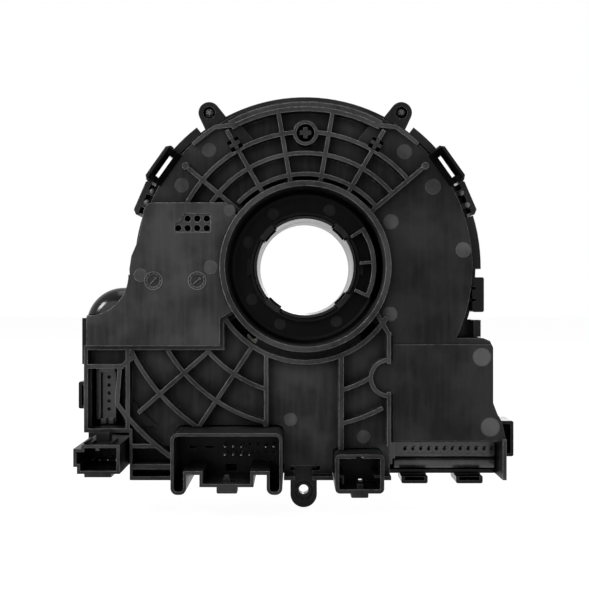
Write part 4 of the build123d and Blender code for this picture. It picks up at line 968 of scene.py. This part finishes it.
@dataclass
class ContactPins(SubAssembly):
    """Square pins with tapered tips for the three vehicle headers."""

    width: float = 0.64
    bevel: float = 0.06
    tip: float = 1.0
    taper: float = 0.7
    tip_share: float = 0.42
    pitch: float = 2.54
    main_first: Spot = (-25.1, -56.1)
    main_columns: tuple[int, ...] = (0, 1, 2, 5, 6)
    side_first: Spot = (-66.5, -60.2)
    switch_first: Spot = (12.6, -59.3)
    row: int = 4
    main_end: float = 14.8
    side_end: float = 15.4
    switch_end: float = 14.8

    def line(self, first: Spot, columns: tuple[int, ...] | range) -> list[Spot]:
        """Places of one line of pins."""
        return [(first[0] + column * self.pitch, first[1]) for column in columns]

    def rows(self) -> dict[str, tuple[list[Spot], float]]:
        """The pins of each header.

        Returns:
            Their places and the depth of their inner ends, by node.
        """
        row = range(self.row)
        below = (self.main_first[0], self.main_first[1] - self.pitch)
        main = self.line(self.main_first, self.main_columns) + self.line(below, row)
        return {
            "main_header_pins": (main, self.main_end),
            "side_header_pins": (self.line(self.side_first, row), self.side_end),
            "switch_header_pins": (self.line(self.switch_first, row), self.switch_end),
        }

    def pin(self, mesh: Mesh, place: Spot, end: float) -> None:
        """Adds one pin whose tip tapers towards the column side.

        Args:
            mesh: Where it is added.
            place: X and Z of its middle.
            end: Depth of its inner end.
        """
        single = bmesh.new()
        half = self.width / 2
        low = (place[0] - half, self.tip + self.taper, place[1] - half)
        self.block(single, low, (place[0] + half, end, place[1] + half), self.bevel)
        face = min(single.faces, key=lambda f: f.calc_center_median().y)
        drawn = bmesh.ops.extrude_face_region(single, geom=[face])["geom"]
        verts = [item for item in drawn if isinstance(item, bmesh.types.BMVert)]
        bmesh.ops.translate(single, vec=(0, -self.taper * MM, 0), verts=verts)
        bmesh.ops.scale(
            single, vec=(self.tip_share, 1.0, self.tip_share),
            space=Matrix.Translation(-along_axis(place, self.tip)), verts=verts,
        )
        bmesh.ops.delete(single, geom=[face], context="FACES_ONLY")
        self.join(mesh, single)

    def build(self) -> None:
        """Makes the pins of every header."""
        for node, (places, end) in self.rows().items():
            mesh = bmesh.new()
            for place in places:
                self.pin(mesh, place, end)
            self.keep(f"{node}_tapered", mesh, TIN, Body.STATOR, "tin_contact", (node,))


@dataclass
class LugScrews(SubAssembly):
    """Threaded screws in the two top lugs, their tips towards the column side."""

    place_x: float = 30.5
    place_z: float = 49.0
    core_r: float = 1.15
    core_sides: int = 28
    point_r: float = 0.9
    point: float = 0.6
    thread_r: float = 1.45
    thread_root_r: float = 1.05
    thread_start: float = 0.5
    thread_rise: float = 0.28
    thread_stop: float = 1.6
    pitch: float = 0.8
    steps_per_turn: int = 20
    tip: float = 7.7
    burrs: int = 5
    burr_sides: int = 10
    burr_place_r: float = 0.75
    burr_first: float = 20.0
    burr_radii: tuple[float, float] = (0.12, 0.42)
    burr_out: float = 0.35
    burr_step: float = 0.1
    burr_in: float = 0.3
    head_back: float = 22.0
    head_front: float = 24.0
    head_r: float = 2.6
    head_steps: int = 36
    rim: float = 0.9
    shoulder_r: float = 0.15
    shoulder: float = 0.35
    crown_r: float = 0.7
    dome: float = 0.25
    bore_r: float = 0.95
    recess_r: float = 1.15
    recess_floor_r: float = 1.0
    recess: float = 1.0
    recess_chamfer: float = 0.1
    lobes: int = 6
    lobe_place_r: float = 1.05
    lobe_r: float = 0.3
    lobe_sides: int = 12
    plug_sides: int = 24
    lobe_drop: float = 0.06
    overlap: float = 0.1

    def build(self) -> None:
        """Makes both screws."""
        for side, node in ((-1, "lug_screw_left"), (1, "lug_screw_right")):
            centre = (side * self.place_x, self.place_z)
            mesh = bmesh.new()
            neck = self.tip + self.point
            self.rod(mesh, centre, (self.point_r, self.core_r), self.tip, neck, self.core_sides)
            shank = (self.core_r, self.core_r)
            back = self.head_back + self.overlap
            self.rod(mesh, centre, shank, neck, back, self.core_sides)
            self.thread(mesh, centre)
            self.burr(mesh, centre)
            self.head(mesh, centre)
            self.keep(f"{node}_threaded", mesh, ZINC, Body.STATOR, "screw_steel", (node,))

    def thread(self, mesh: Mesh, centre: Spot) -> None:
        """Adds the thread as one ridge wound round the core.

        Args:
            mesh: Where it is added.
            centre: X and Z of the screw.
        """
        turns = int((self.head_back - self.tip - self.thread_stop) / self.pitch)
        start = self.tip + self.thread_start
        profile = (
            (self.thread_root_r, start),
            (self.thread_r, start + self.thread_rise),
            (self.thread_root_r, start + 2 * self.thread_rise),
        )
        corners = [mesh.verts.new(along_axis((centre[0] + r, centre[1]), y)) for r, y in profile]
        face = mesh.faces.new(corners)
        bmesh.ops.spin(
            mesh, geom=corners + list(face.edges) + [face], cent=along_axis(centre, 0),
            axis=(0, -1, 0), dvec=(0, self.pitch * MM / self.steps_per_turn, 0),
            angle=math.radians(FULL_TURN * turns), steps=turns * self.steps_per_turn,
            use_duplicate=False,
        )

    def burr(self, mesh: Mesh, centre: Spot) -> None:
        """Adds the ragged crown that the cutting tip leaves round its end.

        Args:
            mesh: Where it is added.
            centre: X and Z of the screw.
        """
        for index in range(self.burrs):
            x, z = polar(self.burr_place_r, FULL_TURN / self.burrs * index + self.burr_first)
            back = self.tip - self.burr_out - self.burr_step * (index % 2)
            spot = (centre[0] + x, centre[1] + z)
            front = self.tip + self.burr_in
            self.rod(mesh, spot, self.burr_radii, back, front, self.burr_sides)

    def head(self, mesh: Mesh, centre: Spot) -> None:
        """Adds a low domed head with a six-lobed drive recess.

        Args:
            mesh: Where it is added.
            centre: X and Z of the screw.
        """
        r, back, front = self.head_r, self.head_back, self.head_front
        top, floor = front - self.dome, front - self.recess
        outline = [
            (self.bore_r, back), (r, back), (r, back + self.rim),
            (r - self.shoulder_r, top - self.shoulder), (r - self.crown_r, top),
            (self.recess_r + self.recess_chamfer, front), (self.recess_r, front),
            (self.bore_r, floor),
        ]
        self.sweep(mesh, outline, 0.0, FULL_TURN, self.head_steps)
        near = (r + self.overlap) * MM
        made = [v for v in mesh.verts if math.hypot(v.co.x, v.co.z) < near]
        bmesh.ops.translate(mesh, vec=along_axis(centre, 0), verts=made)
        for index in range(self.lobes):
            x, z = polar(self.lobe_place_r, FULL_TURN / self.lobes * index)
            spot = (centre[0] + x, centre[1] + z)
            radii = (self.lobe_r, self.lobe_r)
            self.rod(mesh, spot, radii, floor, front - self.lobe_drop, self.lobe_sides)
        plug = (self.recess_floor_r, self.recess_floor_r)
        self.rod(mesh, centre, plug, back + self.overlap, floor, self.plug_sides)


@dataclass
class SnapFingers(SubAssembly):
    """Four sprung pads on the rotor's back edge, just proud of the bore."""

    angles: tuple[float, ...] = (45.0, 138.0, 230.0, 318.0)
    half_width: float = 9.0
    inner_r: float = 14.55
    outer_r: float = 15.3
    back: float = 6.55
    front: float = 10.5
    chamfer_r: float = 0.15
    chamfer: float = 0.3
    land: float = 2.2
    steps: int = 8

    def build(self) -> None:
        """Makes the four pads as one piece."""
        mesh = bmesh.new()
        outline = [
            (self.outer_r, self.back),
            (self.inner_r + self.chamfer_r, self.back),
            (self.inner_r, self.back + self.chamfer),
            (self.inner_r, self.back + self.land),
            (self.outer_r, self.front),
        ]
        for angle in self.angles:
            self.sweep(mesh, outline, angle - self.half_width, 2 * self.half_width, self.steps)
        self.keep("snap_finger_pads", mesh, FINGER, Body.ROTOR, "rotor_black")


@dataclass
class StripRidges(SubAssembly):
    """Zigzag ridge moulded under the row of holes in the right contact strip."""

    first_x: float = 30.73
    top_z: float = -59.35
    bottom_z: float = -60.15
    pitch: float = 2.54
    count: int = 12
    width: float = 0.24
    bevel: float = 0.04
    face: float = 12.0
    relief: float = 0.14
    root: float = 0.2

    def build(self) -> None:
        """Makes the zigzag, two slanting bars for each hole."""
        mesh = bmesh.new()
        rise = self.top_z - self.bottom_z
        half = self.width / 2
        length = math.hypot(self.pitch / 2, rise) / 2 + half
        slope = math.degrees(math.atan2(rise, self.pitch / 2))
        low, high = (-length, self.face - self.relief, -half), (length, self.face + self.root, half)
        for index in range(2 * self.count):
            x = self.first_x + (index + 0.5) * self.pitch / 2
            middle = (x, (self.top_z + self.bottom_z) / 2)
            self.block(mesh, low, high, self.bevel, slope if index % 2 else -slope, middle)
        self.keep("strip_zigzag", mesh, STRIP, Body.STATOR, "strip_black")


@dataclass
class PostCaps(SubAssembly):
    """Rounded ends of the posts in the gaps beside the snap loops, pale as a painted highlight.

    The dome gives shares of the radius, each with how deep it lies below the top.
    """

    places: tuple[Spot, ...] = ((-48.4, 24.0), (-50.2, 20.5), (49.5, 23.5), (51.4, 19.7))
    radius: float = 0.95
    face: float = 7.3
    dome: Stops = ((0.0, 0.0), (0.45, 0.06), (0.85, 0.3), (1.0, 0.7))
    root: float = 9.0
    steps: int = 24

    def build(self) -> None:
        """Makes the four caps as one piece."""
        mesh = bmesh.new()
        outline = [(share * self.radius, self.face + drop) for share, drop in self.dome]
        outline += [(self.radius, self.root), (0.0, self.root)]
        for place in self.places:
            self.lathe(mesh, outline, self.steps, place)
        self.keep("post_caps", mesh, PALE_HIGHLIGHT, Body.STATOR, "housing_black")


@dataclass
class RimBead(SubAssembly):
    """Fine bead along the top band of the cover, between the two lugs."""

    radius: float = 49.5
    width: float = 0.34
    relief: float = 0.16
    face: float = 0.0
    root: float = 0.3
    start: float = 64.0
    angle: float = 52.0
    steps: int = 52

    def build(self) -> None:
        """Makes the bead as one swept ridge."""
        mesh = bmesh.new()
        low, high = self.face + self.root, self.face - self.relief
        inner, outer = self.radius - self.width / 2, self.radius + self.width / 2
        outline = [
            (inner, low), (inner, self.face), (self.radius, high), (outer, self.face), (outer, low),
        ]
        self.sweep(mesh, outline, self.start, self.angle, self.steps)
        self.keep("rim_bead", mesh, COVER, Body.STATOR, "cover_black")


@dataclass
class LoopShadeFrames(SubAssembly):
    """Near-black frames round the slots of the two snap loops at the top, over the cover's edge:
    painted shade over the loops' deep slots.
    """

    angles: tuple[float, ...] = (35.4, 144.6)
    inner_r: float = 51.3
    slot_in_r: float = 53.25
    slot_out_r: float = 55.5
    outer_r: float = 56.6
    half_length: float = 5.9
    slot_half: float = 4.2
    back: float = 1.1
    end_drop: float = 0.6
    outer_drop: float = 2.6
    front: float = 7.7
    bevel: float = 0.2

    def bars(self) -> list[tuple[float, float, float, float, float]]:
        """The bars of one frame.

        Returns:
            For each, its inner and outer radius, its two ends along the slot and its back.
        """
        half, slot = self.half_length, self.slot_half
        ends_back = self.back + self.end_drop
        return [
            (self.inner_r, self.slot_in_r, -half, half, self.back),
            (self.slot_out_r, self.outer_r, -half, half, self.back + self.outer_drop),
            (self.slot_in_r, self.slot_out_r, -half, -slot, ends_back),
            (self.slot_in_r, self.slot_out_r, slot, half, ends_back),
        ]

    def build(self) -> None:
        """Makes both frames as one piece."""
        mesh = bmesh.new()
        for angle in self.angles:
            for inner, outer, first, last, back in self.bars():
                low, high = (inner, back, first), (outer, self.front, last)
                self.block(mesh, low, high, self.bevel, angle)
        self.keep("loop_shade_frames", mesh, SHADE_BLACK, Body.STATOR, "housing_black")


@dataclass
class ClipShadeWebs(SubAssembly):
    """Near-black webs a little inside the mouths of the clips on the sides and the bottom edge:
    painted shade in the clips' mouths.

    Each clip is its lowest and highest X and its lowest and highest Z, without its wall.
    """

    clips: tuple[tuple[float, float, float, float], ...] = (
        (-71.1, -68.8, -44.0, -37.4),
        (62.5, 65.3, -59.2, -49.9),
        (31.6, 38.0, -67.8, -66.4),
        (49.0, 55.5, -67.8, -66.4),
    )
    face: float = 10.2
    thickness: float = 0.8
    bevel: float = 0.1

    def build(self) -> None:
        """Makes all the webs as one piece."""
        mesh = bmesh.new()
        back = self.face + self.thickness
        for left, right, low, high in self.clips:
            self.block(mesh, (left, self.face, low), (right, back, high), self.bevel)
        self.keep("clip_shade_webs", mesh, SHADE_BLACK, Body.STATOR, "housing_black")


@dataclass
class LugRings(SubAssembly):
    """Two raised rings round the hole of the bottom lug, each two radii and a relief."""

    centre: Spot = (-0.5, -70.5)
    face: float = 8.8
    rings: tuple[tuple[float, float, float], ...] = ((2.6, 3.0, 0.15), (3.45, 3.9, 0.3))
    chamfer: float = 0.1
    root: float = 0.4
    steps: int = 40

    def build(self) -> None:
        """Makes both rings as one piece."""
        mesh = bmesh.new()
        low = self.face + self.root
        for inner, outer, relief in self.rings:
            high = self.face - relief
            edge = high + self.chamfer
            outline = [
                (inner, low), (inner, edge), (inner + self.chamfer, high),
                (outer - self.chamfer, high), (outer, edge), (outer, low),
            ]
            self.lathe(mesh, outline, self.steps, self.centre)
        self.keep("foot_lug_rings", mesh, HOUSING, Body.STATOR, "housing_black")


@dataclass
class EjectorMarks(SubAssembly):
    """Round satin marks left by the mould's pins, each its X, Z and radius.

    The groups lie on surfaces of different depth.  The corner mark tops a pad that stands
    up from a lower plate.
    """

    groups: tuple[tuple[float, tuple[Point, ...]], ...] = (
        (2.0, (
            (26.7, 14.0, 2.4), (26.4, -14.8, 2.25), (39.8, 24.9, 2.5), (49.3, 5.2, 2.45),
            (30.9, 35.8, 2.35),
        )),
        (1.5, (
            (55.0, -28.2, 2.9), (57.6, -50.0, 3.0), (-30.0, 36.3, 2.25), (-38.5, 25.3, 2.25),
        )),
        (-1.5, ((-29.35, -0.25, 2.0), (-51.0, -2.7, 1.95))),
        (5.0, ((-4.6, -48.0, 2.0), (18.3, -53.4, 2.0))),
    )
    corner: Point = (-23.4, 17.3, 1.85)
    corner_face: float = -1.5
    corner_root: float = 0.4
    well_floor: float = 12.0
    well_r: float = 19.9
    well_mark_r: float = 1.95
    well_angles: tuple[float, ...] = (67.0, 121.0, 156.0, 211.0, 246.0, 300.0)
    relief: float = 0.03
    root: float = 0.35
    groove: float = 0.05
    groove_insets: tuple[float, float, float] = (0.22, 0.16, 0.1)
    steps: int = 36

    def disc(self, mesh: Mesh, mark: Point, face: float, root: float) -> None:
        """Adds one mark, a flat disc with a fine groove inside its rim.

        Args:
            mesh: Where it is added.
            mark: X and Z of its middle, and its radius.
            face: Depth of its face.
            root: Depth at which it ends inside the moulding.
        """
        radius = mark[2]
        inner, middle, outer = (radius - inset for inset in self.groove_insets)
        outline = [
            (0.0, face), (inner, face), (middle, face + self.groove), (outer, face),
            (radius, face + self.relief), (radius, root), (0.0, root),
        ]
        self.lathe(mesh, outline, self.steps, mark[:2])

    def build(self) -> None:
        """Makes the outer marks and the marks in the well."""
        mesh = bmesh.new()
        for face, marks in self.groups:
            for mark in marks:
                self.disc(mesh, mark, face - self.relief, face + self.root)
        self.disc(mesh, self.corner, self.corner_face - self.relief, self.corner_root)
        self.keep("ejector_marks", mesh, EJECTOR, Body.STATOR, "cover_black")
        # The marks in the well take the darker copy of the ejector finish: painted shade.
        mesh = bmesh.new()
        for angle in self.well_angles:
            mark = (*polar(self.well_r, angle), self.well_mark_r)
            self.disc(mesh, mark, self.well_floor, self.well_floor + self.root)
        self.keep("well_ejector_marks", mesh, SHADED_EJECTOR, Body.STATOR, "cover_black")


@dataclass
class PanelDials(SubAssembly):
    """Two dial marks on the raised left panel, each with a ring, ticks and an arrow, in a paler
    finish as a painted highlight.
    """

    top: float = -1.5
    relief: float = 0.16
    root: float = 0.3
    centres: tuple[Spot, ...] = ((-46.97, -4.44), (-33.46, -4.44))
    arrows: tuple[float, ...] = (48.0, 40.0)
    radius: float = 2.85
    line: float = 0.22
    steps: int = 40
    ticks: int = 12
    tick_in_r: float = 2.05
    tick_out_r: float = 2.5
    tick_half: float = 0.1
    arrow_half: float = 1.5
    arrow_width: float = 0.26
    arrow_relief: float = 0.03
    barb: float = 0.7
    barb_angle: float = 38.0

    def dial(self, centre: Spot, arrow: float) -> Mesh:
        """Makes one dial.

        Args:
            centre: X and Z of its centre.
            arrow: Angle at which the arrow points.

        Returns:
            The dial's mesh in its place.
        """
        mesh = bmesh.new()
        high, low = self.top - self.relief, self.top + self.root
        inner, outer = self.radius - self.line, self.radius
        outline = [(inner, low), (inner, high), (outer, high), (outer, low)]
        self.lathe(mesh, outline, self.steps)
        half = self.tick_half
        for index in range(self.ticks):
            turn = FULL_TURN / self.ticks * index
            start, end = (self.tick_in_r, high, -half), (self.tick_out_r, low, half)
            self.block(mesh, start, end, turn=turn)
        high -= self.arrow_relief
        tip, wide = self.arrow_half, self.arrow_width / 2
        self.block(mesh, (-tip, high, -wide), (tip, low, wide), turn=arrow)
        for side in (-1, 1):
            barb = bmesh.new()
            start, end = (-self.barb, high, -half), (0.0, low, half)
            self.block(barb, start, end, turn=side * self.barb_angle, centre=(tip, 0.0))
            self.turn(barb, arrow)
            self.join(mesh, barb)
        self.shift(mesh, centre)
        return mesh

    def build(self) -> None:
        """Makes both dials as one piece."""
        mesh = bmesh.new()
        for centre, arrow in zip(self.centres, self.arrows):
            self.join(mesh, self.dial(centre, arrow))
        self.keep("panel_dials", mesh, PALE_HIGHLIGHT, Body.STATOR, "cover_black")


@dataclass(frozen=True)
class Lamp:
    """One square area lamp: where it hangs, what it faces, its side and its power in watts."""

    name: str
    place: Point
    size: float
    watts: float
    target: Point = (0.0, 0.0, 0.0)

    def build(self) -> None:
        """Hangs the lamp."""
        light = bpy.data.lights.new(self.name, "AREA")
        light.shape = "SQUARE"
        light.size = self.size
        light.energy = self.watts
        lamp = bpy.data.objects.new(self.name, light)
        lamp.location = self.place
        facing = Vector(self.target) - Vector(self.place)
        lamp.rotation_euler = facing.to_track_quat("-Z", "Y").to_euler()
        bpy.context.scene.collection.objects.link(lamp)


@dataclass
class Studio:
    """Pale floor, white surround, soft lamps and the camera of the photograph."""

    camera_at: Point = (-0.0034, -0.340, -0.0087)
    lens: float = 67.03
    sensor: float = 36.0
    clip: Span = (0.01, 30.0)
    floor_size: float = 6.0
    floor_gap: float = 0.0002
    floor_cloud: float = 0.4
    floor_cells: int = 8
    floor_roughness: float = 0.9
    floor_specular: float = 0.1
    floor_white: float = 0.9
    floor_strength: float = 1.06
    papers: tuple[Colour, Colour] = ((0.93, 0.93, 0.93), (0.95, 0.95, 0.95))
    world_light: float = 0.24
    lamps: list[Lamp] = field(
        default_factory=lambda: [
            Lamp("card_left", (-0.48, -0.78, 0.36), 0.7, 6.0, (-0.02, 0.0, 0.0)),
            Lamp("key_left", (-0.55, -0.22, 0.36), 0.18, 6.5),
            Lamp("fill_right", (0.7, -0.3, 0.2), 0.5, 2.5),
            Lamp("top_soft", (0.0, 0.1, 1.0), 0.7, 6.0),
            Lamp("back_soft", (0.3, 0.95, 0.45), 0.7, 7.0, (0.0, 0.03, 0.0)),
        ]
    )

    def world(self) -> None:
        """White surround for the camera, a softer one for the light on the object."""
        world = bpy.data.worlds.new("surround")
        bpy.context.scene.world = world
        world.use_nodes = True
        bench = NodeBench(world.node_tree)
        out = bench.add("ShaderNodeOutputWorld")
        lit = bench.add("ShaderNodeBackground", Color=WHITE, Strength=self.world_light)
        bench.show_white(lit, out, 1.0, 1.0)

    def paper(self) -> bpy.types.Material:
        """Makes the floor's pale paper.

        Returns:
            The material.
        """
        sheet = NodeSheet("floor_paper")
        tint = sheet.ramp(sheet.noise(self.floor_cloud, SPARE_DETAIL), CLOUD_SPAN)
        sheet.link(sheet.blend(tint, *self.papers), sheet.shader, "Base Color")
        sheet.shader.inputs["Roughness"].default_value = self.floor_roughness
        sheet.shader.inputs["Specular IOR Level"].default_value = self.floor_specular
        sheet.show_white(sheet.shader, sheet.out, self.floor_white, self.floor_strength)
        return sheet.material

    def floor(self, height: float) -> None:
        """A wide pale floor.

        Args:
            height: Its Z in metres.
        """
        mesh = bmesh.new()
        cells = self.floor_cells
        bmesh.ops.create_grid(
            mesh, x_segments=cells, y_segments=cells, size=self.floor_size / 2
        )
        bmesh.ops.translate(mesh, vec=(0, 0, height), verts=mesh.verts[:])
        data = bpy.data.meshes.new("floor")
        mesh.to_mesh(data)
        mesh.free()
        floor = bpy.data.objects.new("floor", data)
        bpy.context.scene.collection.objects.link(floor)
        data.materials.append(self.paper())
        floor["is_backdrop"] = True

    def camera(self) -> None:
        """The camera, square to the column side."""
        data = bpy.data.cameras.new("photo_camera")
        data.lens = self.lens
        data.sensor_width = self.sensor
        data.clip_start, data.clip_end = self.clip
        camera = bpy.data.objects.new("photo_camera", data)
        camera.location = self.camera_at
        camera.rotation_euler = (math.pi / 2, 0.0, 0.0)
        bpy.context.scene.collection.objects.link(camera)
        bpy.context.scene.camera = camera

    def build(self, lowest: float) -> None:
        """Sets up the whole studio.

        Args:
            lowest: Z of the object's lowest point, in metres.
        """
        bpy.context.scene.view_settings.view_transform = "Standard"
        self.world()
        self.floor(lowest - self.floor_gap)
        for lamp in self.lamps:
            lamp.build()
        self.camera()


ASSEMBLIES: tuple[type[SubAssembly], ...] = (
    ContactPins,
    LugScrews,
    SnapFingers,
    StripRidges,
    PostCaps,
    RimBead,
    LoopShadeFrames,
    ClipShadeWebs,
    LugRings,
    EjectorMarks,
    PanelDials,
)


def main() -> None:
    """Dresses the frame, adds the finer pieces and sets up the studio."""
    logging.basicConfig(level=logging.INFO, format="%(message)s")
    cad_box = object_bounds()
    wardrobe = Wardrobe()
    for node, finish in NODE_FINISHES.items():
        wardrobe.dress(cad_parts[node], finish)
        LOG.info("%s dressed in %s", node, finish.name)
    for assembly in ASSEMBLIES:
        assembly(wardrobe).build()
    Studio().build(cad_box[0].z)
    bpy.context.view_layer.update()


if __name__ == "__main__":
    main()
